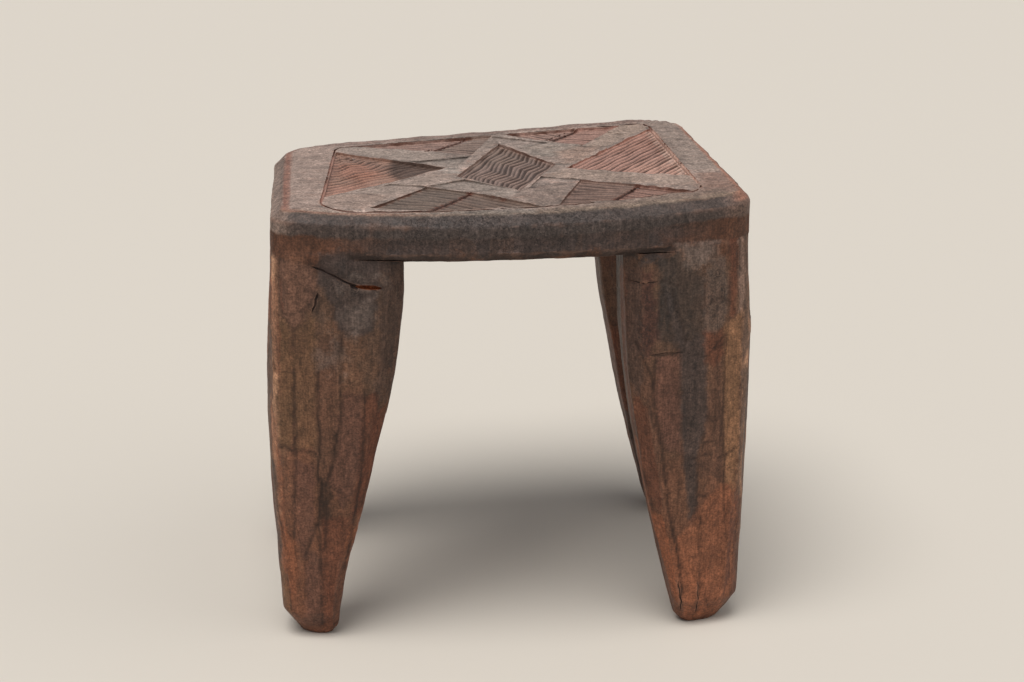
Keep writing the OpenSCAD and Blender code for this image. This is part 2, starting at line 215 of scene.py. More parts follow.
# Facets left by the adze on the two front legs: tone, strength, depth in millimetres, and the
# outline as (across, height), seen from the front
FRONT_FACETS = [
    # Painted light on the left leg's outer strip, which turns to the side
    ("pale", 0.95, 0.0, ((-170, 262), (-151, 262), (-150, 239), (-152, 166), (-154, 125),
                         (-153, 30), (-170, 30))),
    ("olive", 0.7, 0.3, ((-150, 239), (-142, 216), (-142, 189), (-143, 140), (-153, 137),
                         (-151, 199))),
    ("chestnut", 0.85, 0.4, ((-150, 264), (-126, 256), (-124, 248), (-130, 234), (-141, 216),
                             (-150, 226))),
    ("smoke", 0.85, 0.5, ((-124, 266), (-85, 266), (-88, 244), (-92, 215), (-103, 213),
                          (-114, 219), (-119, 236), (-126, 251))),
    ("dusk", 0.8, 0.2, ((-86, 262), (-60, 262), (-73, 224), (-80, 197), (-90, 154), (-93, 174),
                        (-87, 213))),
    ("russet", 0.75, 0.2, ((-99, 174), (-90, 174), (-87, 150), (-98, 90), (-108, 90), (-103, 131))),
    ("olive", 0.6, 0.0, ((-141, 216), (-127, 225), (-127, 188), (-128, 139), (-143, 139))),
    ("umber", 0.7, 0.35, ((-127, 212), (-112, 214), (-114, 188), (-116, 135), (-126, 116),
                          (-128, 139))),
    ("mauve", 0.75, 0.25, ((-113, 176), (-99, 178), (-102, 121), (-112, 95), (-123, 114),
                           (-117, 135))),
    ("bark", 0.85, 0.7, ((-128, 117), (-119, 113), (-122, 84), (-131, 83))),
    ("mauve", 0.75, 0.1, ((-144, 130), (-130, 127), (-132, 82), (-138, 58), (-143, 71))),
    ("russet", 0.75, 0.2, ((-126, 90), (-108, 90), (-110, 59), (-117, 5), (-129, 5), (-128, 65))),
    ("mauve", 0.8, 0.0, ((-137, 63), (-128, 65), (-129, 5), (-141, 8))),
    ("brick", 0.7, 0.2, ((-154, 86), (-144, 72), (-142, 48), (-147, 26), (-156, 40))),
    ("ash", 0.5, 0.2, ((97, 266), (128, 266), (115, 247), (109, 247))),
    ("soot", 0.85, 0.5, ((88, 256), (101, 259), (111, 246), (117, 247), (118, 204), (96, 200),
                         (85, 206), (89, 238))),
    ("ash", 0.4, 0.1, ((119, 252), (131, 257), (135, 219), (127, 207), (118, 203), (117, 241))),
    ("russet", 0.75, 0.2, ((134, 268), (142, 268), (139, 214), (135, 214))),
    ("clay", 0.8, 0.2, ((141, 268), (170, 268), (170, 222), (147, 222), (142, 218))),
    ("oxblood", 0.85, 0.2, ((66, 250), (84, 250), (88, 206), (83, 192), (68, 196))),
    ("smoke", 0.75, 0.3, ((91, 238), (97, 235), (106, 202), (99, 202))),
    ("smoke", 0.9, 0.5, ((101, 204), (120, 206), (122, 148), (116, 124), (117, 82), (113, 72),
                         (108, 104), (104, 138))),
    ("mauve", 0.85, 0.2, ((86, 194), (102, 196), (104, 138), (106, 127), (92, 131), (86, 169))),
    ("umber", 0.75, 0.2, ((73, 190), (83, 182), (91, 135), (92, 92), (80, 110), (75, 156))),
    ("russet", 0.75, 0.2, ((118, 207), (134, 208), (135, 192), (125, 182), (120, 188))),
    ("tan", 0.8, 0.3, ((133, 212), (143, 215), (145, 119), (143, 96), (135, 105), (131, 178))),
    ("umber", 0.75, 0.35, ((122, 184), (132, 186), (136, 105), (119, 108), (117, 124), (123, 148))),
    ("brick", 0.55, 0.1, ((117, 89), (136, 104), (148, 94), (148, 32), (134, 5), (120, 5),
                          (107, 66))),
    ("brick", 0.6, 0.15, ((99, 68), (108, 66), (120, 36), (118, 2), (102, 8))),
    ("bark", 0.75, 0.2, ((70, 193), (78, 122), (90, 90), (98, 52), (78, 100))),
    # Painted light on the right leg's outer strip, which turns to the side
    ("pale", 0.8, 0.0, ((145, 216), (150, 250), (170, 250), (170, 50), (147, 50), (146, 119))),
]
# Tones that the adze's facets take elsewhere, the first twice as often
OTHER_TONES = ("umber", "umber", "dusk", "russet", "mauve", "olive", "smoke", "brick")
# Where facets lie on the other sides, as spans across each side in millimetres
OTHER_SPANS = {
    "right": ((-132, -60), (55, 140)),
    "left": ((-140, -65), (35, 115)),
    "back": ((-162, -75), (75, 164)),
    "inner": ((-162, -60), (60, 164)),
    "inside": ((-135, -50), (30, 140)),
}
# Dark joints where facets meet, and lines of painted shade: the line's points as above, half width
# in millimetres, darkness
FRONT_JOINTS_AND_SHADE = [
    (((-141, 218), (-141.5, 190), (-142.5, 165), (-142, 152)), 1.0, 0.8),
    (((-142, 152), (-142.5, 144), (-142, 134)), 1.2, 0.95),
    (((-142, 134), (-144, 100), (-145, 74)), 0.9, 0.75),
    (((-127, 190), (-127.5, 160), (-127, 140), (-129, 116)), 1.0, 0.95),
    (((-112, 214), (-112.5, 190), (-113, 162), (-117, 140), (-119, 127), (-122, 114)), 1.0, 0.9),
    (((-118, 132), (-121, 122), (-124, 113)), 1.4, 0.8),
    (((-98, 178), (-99, 150), (-101, 120), (-108, 78), (-113, 50)), 1.1, 0.85),
    (((-127, 114), (-128, 98), (-129, 82), (-128, 40), (-128, 10)), 1.0, 0.85),
    (((-131, 85), (-134, 74), (-138, 62), (-139, 48)), 1.0, 0.8),
    (((-146, 78), (-144, 66), (-143, 48)), 0.8, 0.7),
    (((-153, 137), (-149, 139), (-144, 136)), 1.3, 0.9),
    (((-139, 137), (-133, 135.5), (-127, 131)), 1.2, 0.75),
    (((-150, 227), (-140, 217), (-131, 233), (-124, 249)), 0.8, 0.6),
    (((-148, 262), (-149, 240), (-150, 226)), 0.7, 0.5),
    (((-86, 262), (-87, 240), (-87, 213), (-91, 172)), 0.8, 0.45),
    (((-119, 237), (-114, 219), (-103, 212), (-92, 214)), 0.9, 0.4),
    (((74, 202), (84, 180), (88, 150), (92, 130), (95, 108), (98, 87), (104, 60), (108, 36),
     (110, 10)), 1.0, 0.9),
    (((86, 192), (86, 169), (92, 133), (98, 128), (106, 126), (107, 120)), 0.9, 0.7),
    (((83, 194), (104, 195), (120, 191), (134, 206)), 0.7, 0.75),
    (((66, 242), (78, 241), (90, 242), (104, 238)), 0.8, 0.75),
    (((133, 182), (132.5, 150), (135, 120), (136, 88), (139, 60)), 0.9, 0.75),
    (((134, 262), (134, 230), (134, 206), (132, 182)), 0.8, 0.6),
    (((110, 124), (106, 110), (104, 96), (103, 80)), 1.0, 0.6),
    (((117, 124), (116, 104), (117, 86)), 1.2, 0.7),
    (((111, 123), (115, 122), (125, 125)), 1.3, 0.9),
    (((117, 98), (122, 95)), 1.3, 0.9),
    (((131, 121), (138, 123), (145, 126)), 1.2, 0.8),
    (((120, 80), (120.5, 40), (120, 4)), 0.8, 0.7),
    (((125, 23), (129, 12)), 0.8, 0.8),
    (((151, 240), (151, 160), (151, 90), (148, 40)), 0.8, 0.5),
    (((96, 236), (104, 210), (106, 200)), 0.8, 0.6),
    (((91, 236), (95, 214), (98, 201)), 0.8, 0.6),
    (((118, 248), (118, 225), (119, 206)), 0.8, 0.6),
    (((108, 262), (112, 250), (116, 247), (124, 258)), 0.8, 0.4),
    # Painted shade in the crease under the seat's front edge, where the legs stand back
    (((-104, 263.5), (-95, 262.5), (-84, 261.5), (-72, 260.5), (-60, 260)), 2.6, 0.95),
    (((-60, 260), (-30, 260), (0, 260.5), (30, 260.5), (62, 260)), 3.4, 0.85),
    (((60, 260.5), (70, 261), (82, 262), (94, 264)), 2.2, 1.0),
    (((-100, 266), (-112, 264), (-120, 262)), 1.4, 0.5),
    # Painted shade above and below the chip
    (((-130, 259), (-118, 254), (-108, 249), (-97, 246), (-86, 244)), 2.4, 0.65),
    (((-105, 241), (-99, 238.5), (-92, 240)), 2.2, 0.6),
    (((-133, 243), (-127, 240), (-124, 236), (-126, 229)), 1.8, 0.6),
    (((-150, 229), (-143, 226), (-136, 229), (-131, 234)), 0.8, 0.6),
    (((-121, 112), (-114, 107), (-107, 99)), 0.8, 0.5),
    (((-124, 100), (-124, 84), (-126, 66)), 1.3, 0.7),
    (((78, 226), (84, 224), (92, 227)), 0.9, 0.6),
    (((72, 214), (80, 212), (86, 214)), 0.8, 0.5),
    (((121, 226), (128, 229), (135, 226)), 0.9, 0.6),
    (((122, 194), (129, 197), (134, 202)), 0.9, 0.6),
    (((121, 150), (127, 146), (132, 150)), 1.0, 0.6),
    (((119, 132), (124, 134), (130, 131)), 1.0, 0.65),
    (((85, 176), (84, 160), (86, 146)), 0.8, 0.6),
    (((127, 200), (128, 170), (127, 140)), 0.8, 0.5),
    (((96, 118), (97, 96), (100, 74)), 1.0, 0.6),
]

# Cracks across the hewn faces: the way to look at the face, its points as (across, height) in
# millimetres, and the radius of the gap
CRACKS = [
    ("front", ((-129, 258), (-116, 252), (-106, 247), (-100, 245), (-89, 242)), 0.8),
    ("front", ((-106, 247), (-101, 243.5)), 2.0),
    ("front", ((-125.5, 241), (-127, 237), (-127.5, 233), (-129.5, 229)), 0.8),
    ("front", ((83, 194), (92, 195.5), (104, 195)), 0.35),
    ("front", ((66, 242), (78, 241), (88, 242)), 0.45),
    ("front", ((106, 36), (109, 20), (110, 10)), 0.5),
    ("front", ((119.5, 34), (120.5, 18), (120, 8)), 0.4),
    ("right", ((-100, 150), (-99, 120), (-98, 90)), 0.5),
    ("right", ((96, 190), (98, 150), (101, 110)), 0.5),
    ("right", ((78, 236), (92, 238), (108, 235)), 0.5),
    ("left", ((-105, 120), (-107, 90), (-106, 60)), 0.5),
    ("left", ((64, 238), (80, 240), (92, 238)), 0.6),
    ("left", ((76, 150), (78, 120), (80, 80)), 0.4),
    ("back", ((-128, 150), (-130, 120), (-131, 80)), 0.5),
    ("back", ((104, 236), (120, 238), (132, 235)), 0.6),
    ("back", ((121, 130), (124, 90), (125, 60)), 0.5),
]

# ---------------------------------------------------------------- small tools

def linear(hex_code):
    """An sRGB hex colour as linear red, green, blue and alpha."""
    parts = [int(hex_code[i:i + 2], 16) / 255 for i in (1, 3, 5)]
    parts = [c / 12.92 if c <= 0.04045 else ((c + 0.055) / 1.055) ** 2.4 for c in parts]
    return (*parts, 1.0)


def select_only(*objects):
    """Selects these objects alone; the first is the active one."""
    if bpy.context.object and bpy.context.object.mode != "OBJECT":
        bpy.ops.object.mode_set(mode="OBJECT")
    bpy.ops.object.select_all(action="DESELECT")
    for obj in objects:
        obj.select_set(True)
    bpy.context.view_layer.objects.active = objects[0]


def join(objects, name):
    """Joins the objects into the first one and names it."""
    select_only(*objects)
    if len(objects) > 1:
        bpy.ops.object.join()
    objects[0].name = name
    return objects[0]


def apply_modifier(obj, kind, **settings):
    """Adds one modifier with its settings and applies it."""
    select_only(obj)
    modifier = obj.modifiers.new(kind.lower(), kind)
    for key, value in settings.items():
        setattr(modifier, key, value)
    bpy.ops.object.modifier_apply(modifier=modifier.name)


def combine(obj, other, operation):
    """Adds the other mesh to the object or takes it away; each face keeps its material."""
    apply_modifier(obj, "BOOLEAN", operation=operation, solver="MANIFOLD", object=other,
                   material_mode="TRANSFER")
    bpy.data.objects.remove(other)


def cut_away(obj, cutters):
    """Takes all the cutters out of the object at once."""
    for cutter in cutters[1:]:
        combine(cutters[0], cutter, "UNION")
    combine(obj, cutters[0], "DIFFERENCE")


def face_out():
    """Turns every face of the mesh in edit mode outwards."""
    bpy.ops.mesh.select_all(action="SELECT")
    bpy.ops.mesh.normals_make_consistent(inside=False)


def merge_doubles(threshold):
    """Merges the active mesh's points nearer than this, in metres, and turns its faces out."""
    bpy.ops.object.mode_set(mode="EDIT")
    bpy.ops.mesh.select_all(action="SELECT")
    bpy.ops.mesh.remove_doubles(threshold=threshold)
    face_out()
    bpy.ops.object.mode_set(mode="OBJECT")


def thicken(rise):
    """Extrudes the active sheet by a rise in metres into a closed solid."""
    bpy.ops.object.mode_set(mode="EDIT")
    bpy.ops.mesh.select_all(action="SELECT")
    bpy.ops.mesh.extrude_region_move(TRANSFORM_OT_translate={"value": (0, 0, rise)})
    face_out()
    bpy.ops.object.mode_set(mode="OBJECT")


def copy_of_node(node, name):
    """A merged copy of a CAD node's mesh, as an object of its own."""
    obj = bpy.data.objects.new(name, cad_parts[node].data.copy())
    bpy.context.scene.collection.objects.link(obj)
    select_only(obj)
    merge_doubles(0.000002)
    return obj


def vectors(mesh, name):
    """One vector for each point of the mesh: its place, "co", or its "normal"."""
    out = np.empty(len(mesh.vertices) * 3, np.float32)
    mesh.vertices.foreach_get(name, out)
    return out.reshape(-1, 3).astype(float)


def set_positions(mesh, co):
    """Moves the mesh's points to these places, in metres."""
    mesh.vertices.foreach_set("co", np.asarray(co, np.float32).ravel())
    mesh.update()


# ---------------------------------------------------------------- the seat's shape, in mm

def between(corners, p, q):
    """Weighs four corner values for points of a unit square."""
    p, q = np.asarray(p, float)[..., None], np.asarray(q, float)[..., None]
    return (corners[0] * (1 - p) * (1 - q) + corners[1] * (1 + p) * (1 - q)
            + corners[2] * (1 + p) * (1 + q) + corners[3] * (1 - p) * (1 + q)) / 4


def seat_point(s, t):
    """Points of the seat's unit square on the nominal top surface."""
    out = between(SEAT_CORNERS, s, t)
    across, front = 1 - np.asarray(s, float) ** 2, (1 - np.asarray(t, float)) / 2
    out[..., 1] += across * (BACK_BOW * (1 - front) - FRONT_BOW * front)
    out[..., 2] -= FRONT_DIP * across * front * front
    return out


def edge_distance(s, t):
    """How far points of the seat's unit square lie in from its rounded outline."""
    x, y = (1 - np.abs(s)) * HALF_W, (1 - np.abs(t)) * HALF_D
    r = np.where(np.asarray(t) < 0, FRONT_ROUND, BACK_ROUND)
    corner = (x < r) & (y < r)
    return np.where(corner, r - np.hypot(r - x, r - y), np.minimum(x, y))


def seat_square(x, y):
    """The unit square's coordinates of points given by their plan."""
    s, t = x / HALF_W, y / HALF_D
    for _ in range(ROUNDS):
        miss = seat_point(s, t)[..., :2]
        s, t = s - (miss[..., 0] - x) / HALF_W, t - (miss[..., 1] - y) / HALF_D
    return s, t


def panel_point(a, b, depth=0.0):
    """Points of the carved panel's unit square, at a depth below the top."""
    st = between(PANEL_CORNERS, a, b)
    out = seat_point(st[..., 0], st[..., 1])
    out[..., 2] -= depth
    return out


def panel_square(s, t):
    """The panel's unit square coordinates of points of the seat's unit square."""
    a, b = s / PANEL_SHARE[0], t / PANEL_SHARE[1]
    for _ in range(ROUNDS):
        st = between(PANEL_CORNERS, a, b)
        a, b = a - (st[..., 0] - s) / PANEL_SHARE[0], b - (st[..., 1] - t) / PANEL_SHARE[1]
    return a, b


def panel_outline(step=3.0):
    """Points round the panel, with its rounded corners, on its unit square, a step in mm apart."""
    points = []
    signs = ((-1, -1), (1, -1), (1, 1), (-1, 1))
    for k, (sx, sy) in enumerate(signs):
        rx, ry = PANEL_ROUND[k] / HALF_W * 1.2, PANEL_ROUND[k] / HALF_D * 1.2
        count = max(4, round(PANEL_ROUND[k] * 1.57 / step))
        for i in range(count + 1):
            angle = math.radians(180 + 90 * (k + i / count))
            points.append((sx * (1 - rx) + rx * math.cos(angle),
                           sy * (1 - ry) + ry * math.sin(angle)))
    whole = []
    for p, q in zip(points, points[1:] + points[:1]):
        gap = math.hypot((q[0] - p[0]) * PANEL_HALF[0], (q[1] - p[1]) * PANEL_HALF[1])
        steps = max(1, round(gap / step))
        for i in range(steps):
            f = i / steps
            whole.append((p[0] + (q[0] - p[0]) * f, p[1] + (q[1] - p[1]) * f))
    return whole


# ---------------------------------------------------------------- cutters

def tube(name, points, radii, closed=False):
    """A closed round-sided cutter that follows points given in millimetres."""
    curve = bpy.data.curves.new(name, "CURVE")
    curve.dimensions = "3D"
    curve.bevel_depth = MM
    curve.bevel_resolution = 1
    curve.use_fill_caps = not closed
    line = curve.splines.new("POLY")
    line.points.add(len(points) - 1)
    for spot, co, radius in zip(line.points, points, radii):
        spot.co = (co[0] * MM, co[1] * MM, co[2] * MM, 1)
        spot.radius = radius
    line.use_cyclic_u = closed
    obj = bpy.data.objects.new(name, curve)
    bpy.context.scene.collection.objects.link(obj)
    select_only(obj)
    bpy.ops.object.convert(target="MESH")
    merge_doubles(0.00001)
    return bpy.context.object


def notches(name, spots):
    """Short round-ended cuts, one for each (start, end, radius) in millimetres, as one cutter."""
    cuts = [tube(name, (start, end), (radius, radius * 0.8)) for start, end, radius in spots]
    return join(cuts, name)


def furrowed_cutter(name, corners, pitch, depth, broken, zigzag, floor, rng):
    """The space over one field: a grid laid on it and ploughed into rows of knife cuts.

    Its corners and the cuts are as FIELDS lists them; the floor's depth is in millimetres."""
    quad = np.array([panel_point(*c) for c in corners])
    if len(quad) == 3:
        quad = quad[[0, 0, 2, 1]]
    middle = quad.mean(0)
    sides = np.linalg.norm(quad - np.roll(quad, -1, 0), axis=1)
    area = (np.linalg.norm(np.cross(quad[1] - quad[0], quad[2] - quad[0]))
            + np.linalg.norm(np.cross(quad[2] - quad[0], quad[3] - quad[0]))) / 2
    # Drawn in by 0.3 mm all round, so that neighbours stay apart
    quad = middle + (quad - middle) * (1 - 0.3 * sides.sum() / (2 * area))
    # Two rows of points for each cut, and a column every 1.6 or 2 mm along it
    rows = 2 * max(1, round(area / ((sides[0] + sides[2]) / 2) / pitch))
    cols = max(3, round(max(sides[0], sides[2]) / (1.6 if zigzag else 2.0)))
    bpy.ops.object.select_all(action="DESELECT")
    bpy.ops.mesh.primitive_grid_add(x_subdivisions=cols, y_subdivisions=rows, size=2)
    obj = bpy.context.object
    obj.name = name
    # Each row wavers, leans and bites in its own way
    phase = [rng.uniform(0, TURN) for _ in range(rows + 1)]
    lean = [rng.uniform(-0.24, 0.24) for _ in range(rows + 1)]
    deep = [rng.uniform(0.55, 1.25) for _ in range(rows + 1)]
    for v in obj.data.vertices:
        u, row = (v.co.x + 1) / 2, round((v.co.y + 1) / 2 * rows)
        f = row / rows
        length = sides[0] + (sides[2] - sides[0]) * f
        mm = u * max(length, 2.0)
        if 0 < row < rows:
            f += (lean[row] + 0.2 * math.sin(mm / 5.5 + phase[row])) / rows
        # The zigzag: just over two turns to and fro across the field, none at its borders
        turn = abs((u * 4.3 + 0.3) % 2 - 1) - 0.5
        f += zigzag * turn * 4 * f * (1 - f)
        f = max(f, 0.012)
        top, low = quad[0] + (quad[1] - quad[0]) * u, quad[3] + (quad[2] - quad[3]) * u
        co = top + (low - top) * f
        sunk = floor + 0.12 * math.sin(mm / 7 + phase[row])
        # Odd rows are the bottoms of cuts, shallower at both ends and broken here and there
        if row % 2:
            ends = min(1.0, 0.3 + min(u, 1 - u) * length / 2.5)
            gaps = 1 - broken * (0.5 + 0.5 * math.sin(mm * TURN / 3.4 + phase[row]))
            sunk += depth * deep[row] * ends * gaps
        v.co = (co[0] * MM, co[1] * MM, (co[2] - sunk) * MM)
    thicken(CUTTER_RISE)
    return obj


def dip_cutter(name, corners):
    """A thin wedge of space over part of a band, deepest where it dips under another."""
    bpy.ops.object.select_all(action="DESELECT")
    bpy.ops.mesh.primitive_plane_add(size=2)
    obj = bpy.context.object
    obj.name = name
    for v in obj.data.vertices:
        k = {(-1, -1): 0, (1, -1): 1, (1, 1): 2, (-1, 1): 3}[(round(v.co.x), round(v.co.y))]
        a, b, depth = corners[k]
        v.co = Vector(panel_point(a, b, depth - 0.15)) * MM
    bpy.ops.object.mode_set(mode="EDIT")
    bpy.ops.mesh.select_all(action="SELECT")
    bpy.ops.mesh.subdivide(number_cuts=9)
    thicken(CUTTER_RISE)
    return obj


# ---------------------------------------------------------------- hewn facets

def waver(co, length, seed):
    """Smooth irregular waves of about this length in millimetres, between about -1 and 1."""
    rng = np.random.default_rng(seed)
    total = np.zeros(len(co))
    for _ in range(7):
        way = rng.normal(size=3)
        way /= np.linalg.norm(way)
        total += np.sin(co @ way * (TURN / length * rng.uniform(0.6, 1.5)) + rng.uniform(0, TURN))
    return total / 3.2


def line_distance(points, u, z, closed):
    """Distance of (u, z) from a line of points; inside a closed one it is positive."""
    points = np.asarray(points, float)
    ends = np.roll(points, -1, 0) if closed else points[1:]
    near = np.full(len(u), 1e9)
    inside = np.zeros(len(u), bool)
    for (u0, z0), (u1, z1) in zip(points if closed else points[:-1], ends):
        du, dz = u1 - u0, z1 - z0
        f = np.clip(((u - u0) * du + (z - z0) * dz) / (du * du + dz * dz), 0, 1)
        near = np.minimum(near, np.hypot(u - u0 - f * du, z - z0 - f * dz))
        if z0 != z1:
            crosses = ((z0 > z) != (z1 > z)) & (u < u0 + (z - z0) * du / dz)
            inside ^= crosses
    return np.where(inside, near, -near) if closed else near


def hewn_marks():
    """Facets and joints on all sides of the legs, with lines of painted shade on the front: those
    of the front as seen, the rest at random.

    Each facet is (side, tone, strength, depth, outline); each joint (side, line, width, dark)."""
    facets = [("front", *facet) for facet in FRONT_FACETS]
    joints_and_shade = [("front", *joint_and_shade) for joint_and_shade in FRONT_JOINTS_AND_SHADE]
    rng = random.Random(5)
    for side, spans in OTHER_SPANS.items():
        for low, high in spans:
            u = low
            while u < high:
                width = rng.uniform(9, 17)
                z = rng.uniform(-30, 10)
                while z < 250:
                    tall = rng.uniform(50, 120)
                    lean = rng.uniform(-5, 5)
                    outline = (
                        (u + 1, z + tall * 0.12), (u + width / 2, z),
                        (u + width - 1, z + tall * 0.1), (u + width + lean, z + tall * 0.9),
                        (u + width / 2 + lean, z + tall), (u + lean, z + tall * 0.92))
                    facets.append((side, rng.choice(OTHER_TONES), rng.uniform(0.4, 0.8),
                                   rng.uniform(0, 0.5), outline))
                    if rng.random() < 0.55:
                        foot, head = outline[2], outline[3]
                        line = (foot, ((foot[0] + head[0]) / 2, z + tall / 2), head)
                        joints_and_shade.append((side, line, rng.uniform(0.6, 1.1), rng.uniform(0.4, 0.85)))
                    z += tall
                u += width
    return facets, joints_and_shade


def sides_of(co, normal):
    """For each side: which points of the legs face it, and their coordinate across it."""
    legs = co[:, 2] < SEAM + 8
    x, y = normal[:, 0], normal[:, 1]
    return {
        "front": (legs & (y < -0.35) & (co[:, 1] < 0), co[:, 0]),
        "back": (legs & (y > 0.35) & (co[:, 1] > 0), co[:, 0]),
        "inner": (legs & (np.sign(co[:, 1]) * y < -0.35) & (co[:, 2] < SEAM - 1), co[:, 0]),
        "inside": (legs & (np.sign(co[:, 0]) * x < -0.5) & (co[:, 2] < SEAM - 1), co[:, 1]),
        "left": (legs & (x < -0.6) & (co[:, 0] < 0), co[:, 1]),
        "right": (legs & (x > 0.6) & (co[:, 0] > 0), co[:, 1]),
    }


def nearby(shape, u, z, margin):
    """Numbers of the points (u, z) that lie within a margin of the shape's box."""
    low, high = np.min(shape, 0) - margin, np.max(shape, 0) + margin
    return np.flatnonzero((u > low[0]) & (u < high[0]) & (z > low[1]) & (z < high[1]))


def lay_tone(colour, strength, spot, share, tone):
    """Mixes a tone into the painted points at these places."""
    below = strength[spot] * (1 - share)
    total = np.maximum(below + share, 1e-6)
    added = np.outer(share, linear(tone)[:3])
    colour[spot] = (colour[spot] * below[:, None] + added) / total[:, None]
    strength[spot] = below + share


def paint(co, normal):
    """Colour and strength of the facets, darkness of the joints and of the painted shade, and depth
    of both, by point.
    """
    facets, joints_and_shade = hewn_marks()
    colour, strength = np.zeros((len(co), 3)), np.zeros(len(co))
    joint_and_shade_dark, depth = np.zeros(len(co)), np.zeros(len(co))
    ragged_u = 0.35 * waver(co, 14, 1) + 0.15 * waver(co, 4, 2)
    ragged_z = 1.5 * waver(co, 12, 3) + 0.9 * waver(co, 5, 4)
    soften = 1.1 * waver(co, 6, 5) + 0.6 * waver(co, 2.6, 11)
    views = {}
    for side, (mask, across) in sides_of(co, normal).items():
        index = np.flatnonzero(mask)
        views[side] = (index, across[index] + ragged_u[index], co[index, 2] + ragged_z[index])
    for side, tone, amount, deep, outline in facets:
        index, u, z = views[side]
        near = nearby(outline, u, z, 3)
        spot = index[near]
        inside = line_distance(outline, u[near], z[near], True)
        share = np.clip((inside + soften[spot]) / 3 + 0.5, 0, 1) * amount
        lay_tone(colour, strength, spot, share, TONES[tone])
        depth[spot] += deep * np.clip(inside / 1.4, 0, 1)
    for side, line, width, dark in joints_and_shade:
        index, u, _ = views[side]
        z = co[index, 2] + 0.3 * ragged_z[index]
        near = nearby(line, u, z, 5)
        spot = index[near]
        far = line_distance(line, u[near], z[near], False)
        width = width * (1.0 + 0.25 * waver(co[spot], 15, 6))
        fade = np.clip(0.95 + 0.5 * waver(co[spot], 22, 7), 0.35, 1)
        share = np.exp(-(far / width) ** 2) * dark * fade
        joint_and_shade_dark[spot] = np.maximum(joint_and_shade_dark[spot], share)
        depth[spot] += 0.35 * share
    return colour, strength, joint_and_shade_dark, depth


def paint_top(co, a, b):
    """Tones of the bands and margins, tones of the cuts, and darkness of the soft lines of painted
    shade.
    """
    u = a * PANEL_HALF[0] + 0.8 * waver(co, 14, 21)
    z = b * PANEL_HALF[1] + 0.8 * waver(co, 11, 22)
    spot = np.arange(len(co))
    bands, bands_share = np.zeros((len(co), 3)), np.zeros(len(co))
    # Outside the fields, the walls of the cuts are dark brown: dark wood, and painted shade along
    # the fields' edges
    cuts, cuts_share = np.tile(linear("#50372e")[:3], (len(co), 1)), np.ones(len(co))
    fields = [(tone, 0.95, 0.4, corners) for corners, *_, tone in FIELDS]
    for tones, colour, share in ((TOP_TONES, bands, bands_share),
                                 (fields + CUT_TONES, cuts, cuts_share)):
        for tone, amount, soft, outline in tones:
            inside = line_distance(np.array(outline) * PANEL_HALF, u, z, True)
            lay_tone(colour, share, spot, np.clip(inside / soft + 0.5, 0, 1) * amount, tone)
    for start, end, _ in SPLITS:
        far = line_distance(np.array((start, end)) * PANEL_HALF, u, z, False)
        lay_tone(cuts, cuts_share, spot, 0.92 * np.exp(-(far / 2.5) ** 4), "#4d2b21")
    dark = np.zeros(len(co))
    for line, width, amount in TOP_LINES:
        far = line_distance(np.array(line) * PANEL_HALF, u, z, False)
        dark = np.maximum(dark, amount * np.exp(-(far / width) ** 2))
    return np.column_stack([bands, bands_share]), np.column_stack([cuts, cuts_share]), dark


def furrow_share(sunk, a, b):
    """How far down a knife cut each point lies: 0 on a crest, 1 at the bottom of a full cut.

    A field reaches 0.6 mm past its outline."""
    share = np.zeros(len(a))
    for corners, _, depth, *_ in FIELDS:
        inside = line_distance(np.array(corners) * PANEL_HALF, a * PANEL_HALF[0],
                               b * PANEL_HALF[1], True) > -0.6
        share = np.where(inside, np.clip((sunk - CREST_DEPTH) / depth, 0, 1.3), share)
    return share


def band_of(value, low, high):
    """1 where the value lies between low and high, with soft ends."""
    return np.clip(np.minimum(value - low, high - value) / 1.2 + 0.5, 0, 1)


# ---------------------------------------------------------------- node trees

def add_node(tree, kind, settings=None, inputs=None, stops=()):
    """Adds a node with its settings, and its inputs as values or as links.

    A colour ramp also takes its stops, as (position, colour) from low to high."""
    node = tree.nodes.new(kind)
    for key, value in (settings or {}).items():
        setattr(node, key, value)
    if stops:
        ramp = node.color_ramp.elements
        ramp.remove(ramp[1])
        for number, (position, colour) in enumerate(stops):
            stop = ramp.new(position) if number else ramp[0]
            stop.position, stop.color = position, colour
    for key, value in (inputs or {}).items():
        if isinstance(value, bpy.types.NodeSocket):
            tree.links.new(value, node.inputs[key])
        else:
            node.inputs[key].default_value = value
    return node


def pushed_about(tree, place, noise, reach):
    """Places moved by a noise's settings, up to half this reach in metres on each axis."""
    wander = add_node(tree, "ShaderNodeTexNoise", {}, {"Vector": place, **noise})
    centred = add_node(tree, "ShaderNodeVectorMath", {"operation": "SUBTRACT"},
                       {0: wander.outputs["Color"], 1: (0.5, 0.5, 0.5)})
    return add_node(tree, "ShaderNodeVectorMath", {"operation": "MULTIPLY_ADD"},
                    {0: centred.outputs[0], 1: reach, 2: place}).outputs[0]


def hewn_facets(tree, place, width, length):
    """Cells as wide and long as an adze stroke, upright, with slightly ragged borders."""
    moved = pushed_about(tree, place, {"Scale": 22.0, "Detail": 1.0}, (0.012, 0.012, 0.03))
    return add_node(tree, "ShaderNodeVectorMath", {"operation": "MULTIPLY"},
                    {0: moved, 1: (1 / width, 1 / width, 1 / length)}).outputs[0]


